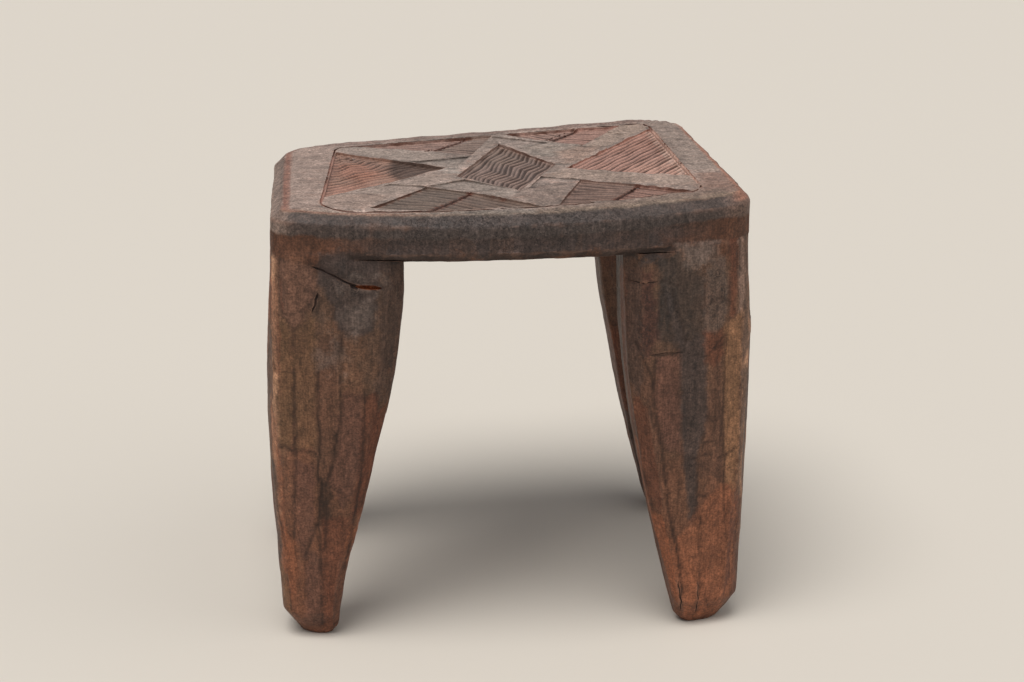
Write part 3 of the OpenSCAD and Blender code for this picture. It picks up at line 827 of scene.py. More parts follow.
def tool_marks_group(stroke_w, stroke_l, stroke_depth):
    """Geometry nodes that dish the block's surface as an adze and a knife leave it."""
    tree = bpy.data.node_groups.new("tool marks", "GeometryNodeTree")
    tree.interface.new_socket("Geometry", in_out="INPUT", socket_type="NodeSocketGeometry")
    tree.interface.new_socket("Geometry", in_out="OUTPUT", socket_type="NodeSocketGeometry")
    start = add_node(tree, "NodeGroupInput")
    place = add_node(tree, "GeometryNodeInputPosition").outputs[0]
    normal = add_node(tree, "GeometryNodeInputNormal").outputs[0]
    height = add_node(tree, "ShaderNodeSeparateXYZ", {}, {0: place}).outputs[2]
    upward = add_node(tree, "ShaderNodeSeparateXYZ", {}, {0: normal}).outputs[2]
    on_top = add_node(tree, "ShaderNodeMapRange", {"interpolation_type": "SMOOTHSTEP"},
                      {"Value": upward, "From Min": 0.55, "From Max": 0.9}).outputs[0]
    off_feet = add_node(tree, "ShaderNodeMapRange", {}, {
        "Value": height, "From Min": 0.0005, "From Max": 0.012}).outputs[0]
    total = None
    # Upright strokes on the legs and sides, small dishes on the top: width, length and depth in
    # metres, and the share off and on the top
    for width, length, depth, mask in ((stroke_w, stroke_l, stroke_depth, (1.0, 0.0)),
                                       (0.015, 0.015, 0.00028, (0.0, 1.0))):
        cells = hewn_facets(tree, place, width, length)
        far = add_node(tree, "ShaderNodeTexVoronoi", {}, {
            "Vector": cells, "Scale": 1.0, "Randomness": 0.9}).outputs["Distance"]
        squared = add_node(tree, "ShaderNodeMath", {"operation": "MULTIPLY"}, {0: far, 1: far})
        dish = add_node(tree, "ShaderNodeMapRange", {}, {
            "Value": squared.outputs[0], "From Min": 0.0, "From Max": 0.5,
            "To Min": -depth, "To Max": depth * 0.3}).outputs[0]
        share = add_node(tree, "ShaderNodeMapRange", {}, {
            "Value": on_top, "To Min": mask[0], "To Max": mask[1]}).outputs[0]
        part = add_node(tree, "ShaderNodeMath", {"operation": "MULTIPLY"}, {0: dish, 1: share})
        total = part.outputs[0] if total is None else add_node(
            tree, "ShaderNodeMath", {}, {0: total, 1: part.outputs[0]}).outputs[0]
    # Broad, shallow unevenness all over, about 60 and 18 mm across
    for scale, depth in ((16.0, 0.0011), (55.0, 0.00035)):
        noise = add_node(tree, "ShaderNodeTexNoise", {}, {
            "Vector": place, "Scale": scale, "Detail": 2.0})
        swell = add_node(tree, "ShaderNodeMapRange", {}, {
            "Value": noise.outputs[0], "To Min": -depth, "To Max": depth}).outputs[0]
        total = add_node(tree, "ShaderNodeMath", {}, {0: total, 1: swell}).outputs[0]
    # Outwards again by what the surface grid rounds off
    total = add_node(tree, "ShaderNodeMath", {}, {0: total, 1: 0.0004}).outputs[0]
    total = add_node(tree, "ShaderNodeMath", {"operation": "MULTIPLY"},
                     {0: total, 1: off_feet}).outputs[0]
    offset = add_node(tree, "ShaderNodeVectorMath", {"operation": "SCALE"},
                      {0: normal, "Scale": total}).outputs[0]
    moved = add_node(tree, "GeometryNodeSetPosition", {}, {
        "Geometry": start.outputs[0], "Offset": offset})
    add_node(tree, "NodeGroupOutput", {}, {0: moved.outputs[0]})
    return tree


def stains(tree, place, spots, soft=0.5):
    """A mask of ragged patches: each spot has a centre and radii in mm, and a tilt in degrees."""
    mask = None
    for centre, radii, tilt in spots:
        local = add_node(tree, "ShaderNodeMapping", {"vector_type": "TEXTURE"}, {
            "Vector": place, "Location": [c * MM for c in centre],
            "Rotation": (0, math.radians(tilt), 0), "Scale": [r * MM for r in radii]})
        spot = add_node(tree, "ShaderNodeTexGradient", {"gradient_type": "SPHERICAL"},
                        {0: local.outputs[0]}).outputs["Fac"]
        mask = spot if mask is None else add_node(
            tree, "ShaderNodeMath", {"operation": "MAXIMUM"}, {0: mask, 1: spot}).outputs[0]
    return add_node(tree, "ShaderNodeMapRange", {"interpolation_type": "SMOOTHSTEP"}, {
        "Value": mask, "From Min": 0.0, "From Max": soft}).outputs[0]


def wood_coordinates(tree):
    """Object coordinates, and the same pushed about a little so that borders look ragged."""
    place = add_node(tree, "ShaderNodeTexCoord").outputs["Object"]
    noise = {"Scale": 90.0, "Detail": 4.0, "Roughness": 0.65}
    return place, pushed_about(tree, place, noise, (0.022, 0.022, 0.05))


def fibres(tree, place, across, along, detail=4.0):
    """Noise drawn out along the upright grain; across and along are in metres."""
    drawn = add_node(tree, "ShaderNodeVectorMath", {"operation": "MULTIPLY"},
                     {0: place, 1: (1 / across, 1 / across, 1 / along)})
    return add_node(tree, "ShaderNodeTexNoise", {}, {
        "Vector": drawn.outputs[0], "Scale": 1.0, "Detail": detail, "Roughness": 0.6}).outputs[0]


def layer(tree, below, colour, mask, amount=1.0, blend="MIX"):
    """Lays a colour over another where the mask says."""
    if amount != 1.0:
        mask = add_node(tree, "ShaderNodeMath", {"operation": "MULTIPLY"},
                        {0: mask, 1: amount}).outputs[0]
    return add_node(tree, "ShaderNodeMix", {"data_type": "RGBA", "blend_type": blend},
                    {0: mask, 6: below, 7: colour}).outputs[2]


def band(tree, value, low, high, soft):
    """1 where the value lies between low and high, fading over soft."""
    up = add_node(tree, "ShaderNodeMapRange", {"interpolation_type": "SMOOTHSTEP"}, {
        "Value": value, "From Min": low - soft, "From Max": low + soft}).outputs[0]
    down = add_node(tree, "ShaderNodeMapRange", {"interpolation_type": "SMOOTHSTEP"}, {
        "Value": value, "From Min": high - soft, "From Max": high + soft, "To Min": 1.0,
        "To Max": 0.0}).outputs[0]
    return add_node(tree, "ShaderNodeMath", {"operation": "MULTIPLY"}, {0: up, 1: down}).outputs[0]


def painted(tree, names):
    """The outputs of the values and tones that were stored on the mesh under these names."""
    return {name: add_node(tree, "ShaderNodeAttribute", {"attribute_name": name}).outputs
            for name in names}


def new_material(name):
    """A new material and its empty node tree."""
    material = bpy.data.materials.new(name)
    material.use_nodes = True
    material.node_tree.nodes.clear()
    return material, material.node_tree


def close_material(tree, surface, relief=None):
    """Ends a tree: relief is the (height, strength, distance) of the surface's fine bumps."""
    if relief:
        bump = add_node(tree, "ShaderNodeBump", {}, {
            "Height": relief[0], "Strength": relief[1], "Distance": relief[2]})
        surface["Normal"] = bump.outputs[0]
    shader = add_node(tree, "ShaderNodeBsdfPrincipled", {}, surface)
    add_node(tree, "ShaderNodeOutputMaterial", {}, {0: shader.outputs[0]})


def mottled(tree, colour, place, sizes):
    """Lightens and darkens a colour by patches of noise: (size in metres, amount, stretch) each."""
    for size, amount, stretch in sizes:
        drawn = add_node(tree, "ShaderNodeVectorMath", {"operation": "MULTIPLY"},
                         {0: place, 1: tuple(1 / (size * k) for k in stretch)}).outputs[0]
        noise = add_node(tree, "ShaderNodeTexNoise", {}, {
            "Vector": drawn, "Scale": 1.0, "Detail": 3.0, "Roughness": 0.6}).outputs[0]
        level = add_node(tree, "ShaderNodeMapRange", {}, {
            "Value": noise, "From Min": 0.3, "From Max": 0.7, "To Min": 1 - amount,
            "To Max": 1 + amount}).outputs[0]
        colour = add_node(tree, "ShaderNodeMix", {"data_type": "RGBA", "blend_type": "MULTIPLY"},
                          {0: 1.0, 6: colour, 7: level}).outputs[2]
    return colour


def hewn_hardwood(colours):
    """Dense tropical hardwood, adze-hewn and smoke-darkened, rubbed by years of use.

    The eye sees flat tool facets of different tone with dark joints between them, sooty and red
    patches, painted shade in the creases under the seat's edge and along the top's facet breaks,
    painted light on the front legs' outer strips, pale rubbed edges, fine mottling and a greyer,
    smoother, rippled top."""
    material, tree = new_material("adze-hewn hardwood, smoked and rubbed")
    place, ragged = wood_coordinates(tree)
    across, _, height = add_node(tree, "ShaderNodeSeparateXYZ", {}, {0: ragged}).outputs
    marks = painted(tree, ("facet", "bands", "inset", "worn", "joint_and_shade", "lip", "rim", "rubbed",
                           "shade"))
    worn = marks["worn"]["Fac"]
    # The bevel's borders wander by up to 3 mm
    wobble = add_node(tree, "ShaderNodeTexNoise", {}, {
        "Vector": place, "Scale": 70.0, "Detail": 5.0}).outputs[0]
    wobble = add_node(tree, "ShaderNodeMath", {"operation": "MULTIPLY_ADD"},
                      {0: wobble, 1: 6.0, 2: -3.0}).outputs[0]
    inset = add_node(tree, "ShaderNodeMath", {}, {0: marks["inset"]["Fac"], 1: wobble}).outputs[0]

    # Body colour: brown, with redder and more olive drifts about 30 mm wide and 70 mm long
    colour = add_node(tree, "ShaderNodeValToRGB", {}, {0: fibres(tree, ragged, 0.03, 0.07)}, (
        (0.34, linear("#513d31")), (0.5, linear("#604433")), (0.68, linear("#714b38")))).outputs[0]
    # Lower legs redder
    low = add_node(tree, "ShaderNodeMapRange", {}, {
        "Value": height, "From Min": 0.15, "From Max": 0.02}).outputs[0]
    colour = layer(tree, colour, linear("#854e35"), low, 0.55)

    # The seat's front and sides: sooty in the middle, brown at the ends. The last two spots are
    # painted shade low on the seat's front edge, over the front legs' tops.
    edge = add_node(tree, "ShaderNodeMapRange", {"interpolation_type": "SMOOTHSTEP"}, {
        "Value": height, "From Min": 0.25, "From Max": 0.266}).outputs[0]
    colour = layer(tree, colour, linear("#513020"), edge, 0.88)
    soot = stains(tree, ragged, [
        ((5, -150, 278), (150, 60, 25), 0), ((0, 140, 272), (120, 60, 30), 0),
        ((160, 30, 270), (22, 90, 30), 0), ((-150, -10, 268), (30, 60, 26), 0),
        ((-80, -130, 262), (46, 60, 14), 0), ((70, -125, 262), (34, 60, 12), 0),
    ])
    colour = layer(tree, colour, linear("#403735"), soot, 0.9)

    # Facets of the adze, each with its own tone
    colour = layer(tree, colour, marks["facet"]["Color"], marks["facet"]["Alpha"])
    cells = hewn_facets(tree, place, STROKE_W, STROKE_L)
    tone = add_node(tree, "ShaderNodeTexVoronoi", {}, {
        "Vector": cells, "Scale": 1.0, "Randomness": 0.9})
    tone = add_node(tree, "ShaderNodeSeparateColor", {}, {0: tone.outputs["Color"]})
    colour = layer(tree, colour, linear("#86604a"), tone.outputs[0], 0.12)
    colour = layer(tree, colour, linear("#3a3029"), tone.outputs[1], 0.12)
    ashy = stains(tree, ragged, [
        ((-101, -140, 228), (15, 30, 20), 20), ((112, -135, 258), (20, 30, 12), 0),
        ((-118, -140, 200), (14, 30, 16), 30),
        ((-100, -140, 246), (24, 30, 8), 10),
    ], 0.8)
    colour = layer(tree, colour, linear("#7a6d66"), ashy, 0.3)

    # The rubbed top: grey-taupe over the bands and margins, with pinker drifts
    on_top = band(tree, inset, 7.0, 400.0, 1.6)
    rubbed = add_node(tree, "ShaderNodeTexNoise", {}, {
        "Vector": place, "Scale": 26.0, "Detail": 7.0, "Roughness": 0.62}).outputs[0]
    top = add_node(tree, "ShaderNodeValToRGB", {}, {0: rubbed}, (
        (0.36, colours.top_dark), (0.64, colours.top_light))).outputs[0]
    # Streaks run from side to side, about 33 mm long and 6 mm wide
    streaks = add_node(tree, "ShaderNodeVectorMath", {"operation": "MULTIPLY"},
                       {0: ragged, 1: (30.0, 170.0, 60.0)}).outputs[0]
    streaks = add_node(tree, "ShaderNodeTexNoise", {}, {
        "Vector": streaks, "Scale": 1.0, "Detail": 5.0}).outputs[0]
    pink = add_node(tree, "ShaderNodeMapRange", {}, {
        "Value": streaks, "From Min": 0.55, "From Max": 0.75}).outputs[0]
    top = layer(tree, top, linear("#a88272"), pink, 0.7)
    grey = add_node(tree, "ShaderNodeMapRange", {}, {
        "Value": streaks, "From Min": 0.45, "From Max": 0.28}).outputs[0]
    top = layer(tree, top, linear("#6f645c"), grey, 0.6)
    shaded = stains(tree, ragged, [
        ((150, 50, 296), (60, 130, 50), 0), ((20, 145, 296), (170, 40, 50), 0),
        ((40, -105, 293), (120, 26, 50), 0),
    ])
    top = layer(tree, top, linear("#6e5d54"), shaded, 0.5)
    top = layer(tree, top, marks["bands"]["Color"], marks["bands"]["Alpha"])
    colour = layer(tree, colour, top, on_top, 0.97)
    # The bevel: dark grey-brown, paler at its left and right ends, with darker specks
    bevel = band(tree, inset, -7.0, 6.8, 1.2)
    sides = linear("#4a403c")
    for tone, start, end in (("#9a8478", -0.138, -0.152), ("#7c6357", 0.128, 0.148)):
        side = add_node(tree, "ShaderNodeMapRange", {}, {
            "Value": across, "From Min": start, "From Max": end}).outputs[0]
        sides = layer(tree, sides, linear(tone), side)
    colour = layer(tree, colour, sides, bevel, 0.85)
    speck = add_node(tree, "ShaderNodeTexNoise", {}, {
        "Vector": place, "Scale": 520.0, "Detail": 3.0, "Roughness": 0.7}).outputs[0]
    speck = add_node(tree, "ShaderNodeMapRange", {}, {
        "Value": speck, "From Min": 0.5, "From Max": 0.68}).outputs[0]
    speck = add_node(tree, "ShaderNodeMath", {"operation": "MULTIPLY"},
                     {0: speck, 1: bevel}).outputs[0]
    colour = layer(tree, colour, linear("#2e2522"), speck, 0.75)
    # A pale lip along the front, the red rim line, the right edge rubbed orange, the back darker
    for name, tone, amount in (("lip", "#94816f", 0.35), ("rim", "#80503f", 0.75),
                               ("rubbed", "#a97560", 0.6), ("shade", "#4d3a33", 0.55)):
        colour = layer(tree, colour, linear(tone), marks[name]["Fac"], amount)

    # Fine mottling about 10, 4.5, 2.4 and 1.1 mm across, and fibres 1.2 mm wide and 12 mm long
    colour = mottled(tree, colour, place, (
        (0.01, 0.22, (1, 1, 2.2)), (0.0045, 0.22, (1, 1, 1.6)), (0.0024, 0.25, (1.3, 1.3, 1)),
        (0.0011, 0.42, (1.2, 1.2, 1)), (0.0012, 0.26, (1, 1, 10))))
    # Pores 0.7 mm wide, coarser than real ones so that they show, and the adze's chatter, an
    # upright row of marks 1.3 mm high; both are dark
    pore = add_node(tree, "ShaderNodeMapRange", {}, {
        "Value": fibres(tree, place, 0.0007, 0.004, 2.0),
        "From Min": 0.68, "From Max": 0.78}).outputs[0]
    colour = layer(tree, colour, linear("#221916"), pore, 0.4)
    ticks = add_node(tree, "ShaderNodeVectorMath", {"operation": "MULTIPLY"},
                     {0: ragged, 1: (160.0, 160.0, 760.0)}).outputs[0]
    ticks = add_node(tree, "ShaderNodeTexNoise", {}, {
        "Vector": ticks, "Scale": 1.0, "Detail": 2.0}).outputs[0]
    ticks = add_node(tree, "ShaderNodeMapRange", {}, {
        "Value": ticks, "From Min": 0.54, "From Max": 0.66}).outputs[0]
    where = stains(tree, place, [
        ((110.5, -131, 165), (6.5, 30, 85), -2), ((96, -129, 222), (9, 30, 34), 0),
        ((126, -129, 230), (9, 30, 26), 0), ((80, -129, 215), (8, 30, 30), 0),
        ((-108, -139, 246), (18, 30, 22), 0), ((0, -150, 278), (165, 45, 18), 0),
    ])
    ticks = add_node(tree, "ShaderNodeMath", {"operation": "MULTIPLY"},
                     {0: ticks, 1: where}).outputs[0]
    colour = layer(tree, colour, linear("#1f1816"), ticks, 0.75)
    # Dark joints between the facets, with painted shade in the crease under the seat's front edge,
    # round the chip and along the top's facet breaks
    colour = layer(tree, colour, linear("#24150f"), marks["joint_and_shade"]["Fac"], 0.95)

    # Pale orange-brown where edges are rubbed through the smoke, dark where dirt lies
    rub = add_node(tree, "ShaderNodeMath", {"operation": "MULTIPLY_ADD"},
                   {0: rubbed, 1: 0.6, 2: worn}).outputs[0]
    edge = add_node(tree, "ShaderNodeMapRange", {}, {
        "Value": rub, "From Min": 0.42, "From Max": 0.85}).outputs[0]
    colour = layer(tree, colour, linear("#a87c66"), edge, 0.6)
    dirt = add_node(tree, "ShaderNodeMapRange", {}, {
        "Value": worn, "From Min": -0.06, "From Max": -0.35}).outputs[0]
    colour = layer(tree, colour, linear("#211814"), dirt, 0.7)

    # A dull, waxy surface, pitted where pores and chatter marks lie
    fine = add_node(tree, "ShaderNodeTexNoise", {}, {
        "Vector": place, "Scale": 420.0, "Detail": 4.0, "Roughness": 0.65}).outputs[0]
    lumps = add_node(tree, "ShaderNodeTexNoise", {}, {
        "Vector": place, "Scale": 150.0, "Detail": 2.0}).outputs[0]
    rough = add_node(tree, "ShaderNodeMapRange", {}, {
        "Value": fine, "From Min": 0.3, "From Max": 0.7, "To Min": 0.5, "To Max": 0.68}).outputs[0]
    relief = add_node(tree, "ShaderNodeMath", {"operation": "MULTIPLY_ADD"},
                      {0: lumps, 1: 1.2, 2: fine}).outputs[0]
    for pits in (pore, ticks):
        relief = add_node(tree, "ShaderNodeMath", {"operation": "SUBTRACT"},
                          {0: relief, 1: pits}).outputs[0]
    close_material(tree, {"Base Color": colour, "Roughness": rough, "IOR": 1.4},
                   (relief, 0.6, 0.0005))
    return material


def carved_hardwood(colours):
    """The same hardwood cut with a knife: redder, with crests rubbed pale and given painted
    highlights, and dirt and painted shade in the cuts.
    """
    material, tree = new_material("knife-cut hardwood, dirt and painted shade in the cuts")
    place, ragged = wood_coordinates(tree)
    marks = painted(tree, ("cuts", "furrow"))
    furrow = marks["furrow"]["Fac"]
    drift = add_node(tree, "ShaderNodeTexNoise", {}, {
        "Vector": ragged, "Scale": 45.0, "Detail": 4.0}).outputs[0]
    base = add_node(tree, "ShaderNodeValToRGB", {}, {0: drift}, (
        (0.35, colours.cut_dark), (0.65, colours.cut_light))).outputs[0]
    colour = layer(tree, base, marks["cuts"]["Color"], 0.85)
    # Crests rubbed pale and given a painted highlight; the bottoms of the cuts dark with dirt and
    # painted shade
    crest = add_node(tree, "ShaderNodeMapRange", {}, {
        "Value": furrow, "From Min": 0.34, "From Max": 0.04}).outputs[0]
    colour = layer(tree, colour, (1.75, 1.7, 1.68, 1.0), crest, 0.6, "MULTIPLY")
    deep = add_node(tree, "ShaderNodeMapRange", {}, {
        "Value": furrow, "From Min": 0.34, "From Max": 0.7}).outputs[0]
    colour = layer(tree, colour, linear("#2b1a14"), deep, 0.72)
    colour = mottled(tree, colour, place, ((0.004, 0.16, (1, 1, 1)), (0.001, 0.26, (1, 1, 1))))
    grain = add_node(tree, "ShaderNodeTexNoise", {}, {
        "Vector": place, "Scale": 700.0, "Detail": 3.0}).outputs[0]
    close_material(tree, {"Base Color": colour, "Roughness": 0.48, "IOR": 1.4},
                   (grain, 0.4, 0.0003))
    return material


def plain_wood(name, dark, light, scale):
    """Raw, torn wood in a fresh chip, or painted shade inside a crack, seen only as a broken line
    of colour.

    Its fibres are as wide as the scale says, in metres, and five times as long."""
    material, tree = new_material(name)
    place = add_node(tree, "ShaderNodeTexCoord").outputs["Object"]
    colour = add_node(tree, "ShaderNodeValToRGB", {}, {0: fibres(tree, place, scale, scale * 5)}, (
        (0.35, linear(dark)), (0.65, linear(light)))).outputs[0]
    close_material(tree, {"Base Color": colour, "Roughness": 0.8, "IOR": 1.5})
    return material


# ---------------------------------------------------------------- properties

class STOOL_PG_block(bpy.types.PropertyGroup):
    """Sizes of the tool marks on the block."""
    grid: FloatProperty(name="Surface grid", description="Spacing of the block's surface points",
                        default=0.0015, min=0.001, max=0.004, unit="LENGTH")
    strokes: IntProperty(name="Adze strokes", description="Flats taken off each leg", default=26)
    bite: FloatProperty(name="Bite", description="Deepest bite of one stroke",
                        default=0.0009, unit="LENGTH")
    stroke_w: FloatProperty(name="Stroke width", description="Width of a tool facet",
                            default=STROKE_W, unit="LENGTH")
    stroke_l: FloatProperty(name="Stroke length", description="Length of a tool facet",
                            default=STROKE_L, unit="LENGTH")
    stroke_depth: FloatProperty(name="Stroke depth", description="Hollow of a tool facet",
                                default=0.0007, unit="LENGTH")


class STOOL_PG_carving(bpy.types.PropertyGroup):
    """Sizes of the carving."""
    field_depth: FloatProperty(name="Field depth", description="Depth of the sunk fields",
                               default=0.0012, unit="LENGTH")
    line_r: FloatProperty(name="Line radius",
                          description="Radius of the gouge for the panel's line",
                          default=0.0011, unit="LENGTH")


class STOOL_PG_colours(bpy.types.PropertyGroup):
    """Colours of the finish."""
    top_dark: FloatVectorProperty(name="Top, dark", description="Darker drifts of the rubbed top",
                                  subtype="COLOR", size=4, default=linear("#75675f"))
    top_light: FloatVectorProperty(name="Top, light", description="Paler drifts of the rubbed top",
                                   subtype="COLOR", size=4, default=linear("#a8948a"))
    cut_dark: FloatVectorProperty(name="Cut, dark", description="Darker knife-cut wood",
                                  subtype="COLOR", size=4, default=linear("#7d5749"))
    cut_light: FloatVectorProperty(name="Cut, light", description="Paler knife-cut wood",
                                   subtype="COLOR", size=4, default=linear("#9d7566"))


# ---------------------------------------------------------------- operators

class STOOL_OT_legs(bpy.types.Operator):
    """Hews the four legs, stroke by stroke"""
    bl_idname = "stool.legs"
    bl_label = "Hew the legs"

    def execute(self, context):
        settings = context.scene.stool_block
        for number, node in enumerate(LEGS):
            rng = random.Random(40 + number)
            leg = copy_of_node(node, "rough_" + node)
            co = vectors(leg.data, "co")
            levels = np.unique(np.round(co[:, 2], 4))
            co[co[:, 2] > SEAM * MM - 0.0001, 2] += LAP
            set_positions(leg.data, co)
            rings = [co[np.abs(np.minimum(co[:, 2], SEAM * MM) - z) < 0.0002, :2] for z in levels]
            # A stroke falls between these heights; the leg's slope is taken this far either way
            low, high, span = 0.02, 0.245, 0.02
            bpy.ops.object.mode_set(mode="EDIT")
            for _ in range(settings.strokes):
                azimuth, z = rng.uniform(0, 2 * math.pi), rng.uniform(low, high)
                out = np.array([math.cos(azimuth), math.sin(azimuth)])
                reach = [(ring @ out).max() for ring in rings]
                above, below = np.interp((z + span, z - span), levels, reach)
                slope = (above - below) / (2 * span) + rng.uniform(-0.008, 0.008)
                # The plane that only touches the leg, hollow or not, and then bites a little
                here = np.max(reach - slope * (levels - z))
                bite = settings.bite * rng.uniform(0.35, 1.0)
                bpy.ops.mesh.select_all(action="SELECT")
                bpy.ops.mesh.bisect(
                    plane_co=(*(out * (here - bite)), z), plane_no=(*out, -slope),
                    use_fill=True, clear_outer=True)
            face_out()
            bpy.ops.object.mode_set(mode="OBJECT")
        return {"FINISHED"}


class STOOL_OT_seat(bpy.types.Operator):
    """Shapes the board of the seat, smooth and not yet carved"""
    bl_idname = "stool.seat"
    bl_label = "Shape the seat"

    def execute(self, context):
        board = copy_of_node("seat", "rough_board")
        # A skin over the panel and a little past it, level with the board's own top
        bpy.ops.object.select_all(action="DESELECT")
        bpy.ops.mesh.primitive_grid_add(x_subdivisions=110, y_subdivisions=94, size=2)
        skin = context.object
        co = vectors(skin.data, "co")
        reach = 1.055
        st = between(PANEL_CORNERS, co[:, 0] * reach, co[:, 1] * reach)
        inset = edge_distance(st[:, 0], st[:, 1])
        top = seat_point(st[:, 0], st[:, 1])
        top[:, 2] += np.interp(inset, [0, BEVEL, RIM_IN, RIM_IN + 0.8],
                               [-BEVEL, -RIM_DEPTH, -RIM_DEPTH, 0])
        set_positions(skin.data, top * MM)
        thicken(-0.0045)
        join([board, skin], "rough_seat")
        return {"FINISHED"}


class STOOL_OT_block(bpy.types.Operator):
    """Makes the legs and seat one block again and leaves the tool marks on it"""
    bl_idname = "stool.block"
    bl_label = "Make the block"

    def execute(self, context):
        settings = context.scene.stool_block
        rough = [bpy.data.objects["rough_seat"]] + [bpy.data.objects["rough_" + n] for n in LEGS]
        block = join(rough, "block")
        apply_modifier(block, "REMESH", mode="VOXEL", voxel_size=settings.grid)
        co, normal = vectors(block.data, "co") / MM, vectors(block.data, "normal")
        # The board's underside is held clear of the plane in which the legs end
        under = (co[:, 2] > SEAM - 4) & (co[:, 2] < SEAM + 2) & (normal[:, 2] < -0.5)
        *_, depth = paint(co, normal)
        # Ripples about 10 mm apart, where a broad blade lifted its shavings, stronger to the right
        s, t = seat_square(co[:, 0], co[:, 1])
        on_top = (normal[:, 2] > 0.8) & (co[:, 2] > 280)
        spacing = 10.5 + 2 * waver(co, 90, 9)
        wave = np.sin((co[:, 1] + 3.5 * waver(co, 60, 8)) * TURN / spacing)
        ripple = 0.3 * wave * np.clip(0.45 + s, 0.25, 1) + 0.12 * waver(co, 16, 10)
        depth = depth + on_top * ripple
        # The front stands back by 0.6 mm from 14 mm below the top
        front = (normal[:, 1] < -0.5) & (co[:, 1] < -80) & (co[:, 2] > 266)
        top = seat_point(np.clip(s, -1, 1), np.clip(t, -1, 1))[:, 2]
        below = top - co[:, 2] - 14 + 0.8 * waver(co, 25, 12)
        depth += front * 0.6 * np.clip(below / 2, 0, 1)
        co -= normal * depth[:, None]
        set_positions(block.data, co * MM)
        tree = tool_marks_group(settings.stroke_w, settings.stroke_l, settings.stroke_depth)
        apply_modifier(block, "NODES", node_group=tree)
        co = vectors(block.data, "co")
        co[under, 2] = np.maximum(co[under, 2], (SEAM + 0.5) * MM)
        set_positions(block.data, co)
        return {"FINISHED"}


class STOOL_OT_carving(bpy.types.Operator):
    """Carves the seat's panel: band facets, sunk and hatched fields, and the lines"""
    bl_idname = "stool.carving"
    bl_label = "Carve the panel"

    def execute(self, context):
        settings = context.scene.stool_carving
        block = bpy.data.objects["block"]
        colours = context.scene.stool_colours
        hewn, carved = hewn_hardwood(colours), carved_hardwood(colours)
        block.data.materials.clear()
        block.data.materials.append(hewn)
        block.data.materials.append(carved)
        rng = random.Random(7)
        floor = settings.field_depth / MM
        dips = [dip_cutter("dip", corners) for corners in DIPS]
        fields = [furrowed_cutter("field", *field[:-1], floor, rng) for field in FIELDS]
        outline = panel_outline(2.4)
        points = [panel_point(a * 1.008, b * 1.01, 0.1 + 0.25 * rng.random()) for a, b in outline]
        radii = [settings.line_r / MM * rng.uniform(0.8, 1.2) for _ in points]
        lines = [tube("panel_line", points, radii, closed=True)]
        for start, end, count in SPLITS:
            start, end = np.array(start), np.array(end)
            gap = np.linalg.norm(panel_point(*end) - panel_point(*start))
            steps = max(4, round(gap / 1.5))
            spots = [start + (end - start) * i / steps + rng.uniform(-0.006, 0.006)
                     for i in range(steps + 1)]
            points = [panel_point(*spot, 0.5 + 0.4 * rng.random()) for spot in spots]
            lines.append(tube("split", points, [2.1 * rng.uniform(0.75, 1.2) for _ in points]))
            lines.append(self.dents("split_notch", start, end, count, 2.6, 0.75, 1.1, rng))
        for start, end, count in DENTS:
            lines.append(self.dents("dent", np.array(start), np.array(end), count,
                                    1.0, 0.7, 1.3, rng))
        for cutters, material in ((dips, hewn), (fields + lines, carved)):
            for cutter in cutters:
                cutter.data.materials.append(material)
        cut_away(block, dips + fields + lines)
        return {"FINISHED"}

    def dents(self, name, start, end, count, reach, radius, depth, rng):
        """A row of dents from start to end, each drawn out to one side or the other in turn.

        Their reach, radius and depth are in millimetres."""
        spots = []
        for i in range(count):
            spot = start + (end - start) * (i + 0.5) / count
            side = reach * (1 if i % 2 else -1) * rng.uniform(0.7, 1.2)
            middle = panel_point(*spot, depth * rng.uniform(0.8, 1.1))
            out = middle + np.array([side, rng.uniform(-0.6, 0.6), 0.3])
            spots.append((middle - (out - middle) * 0.25, out, radius * rng.uniform(0.8, 1.1)))
        return notches(name, spots)


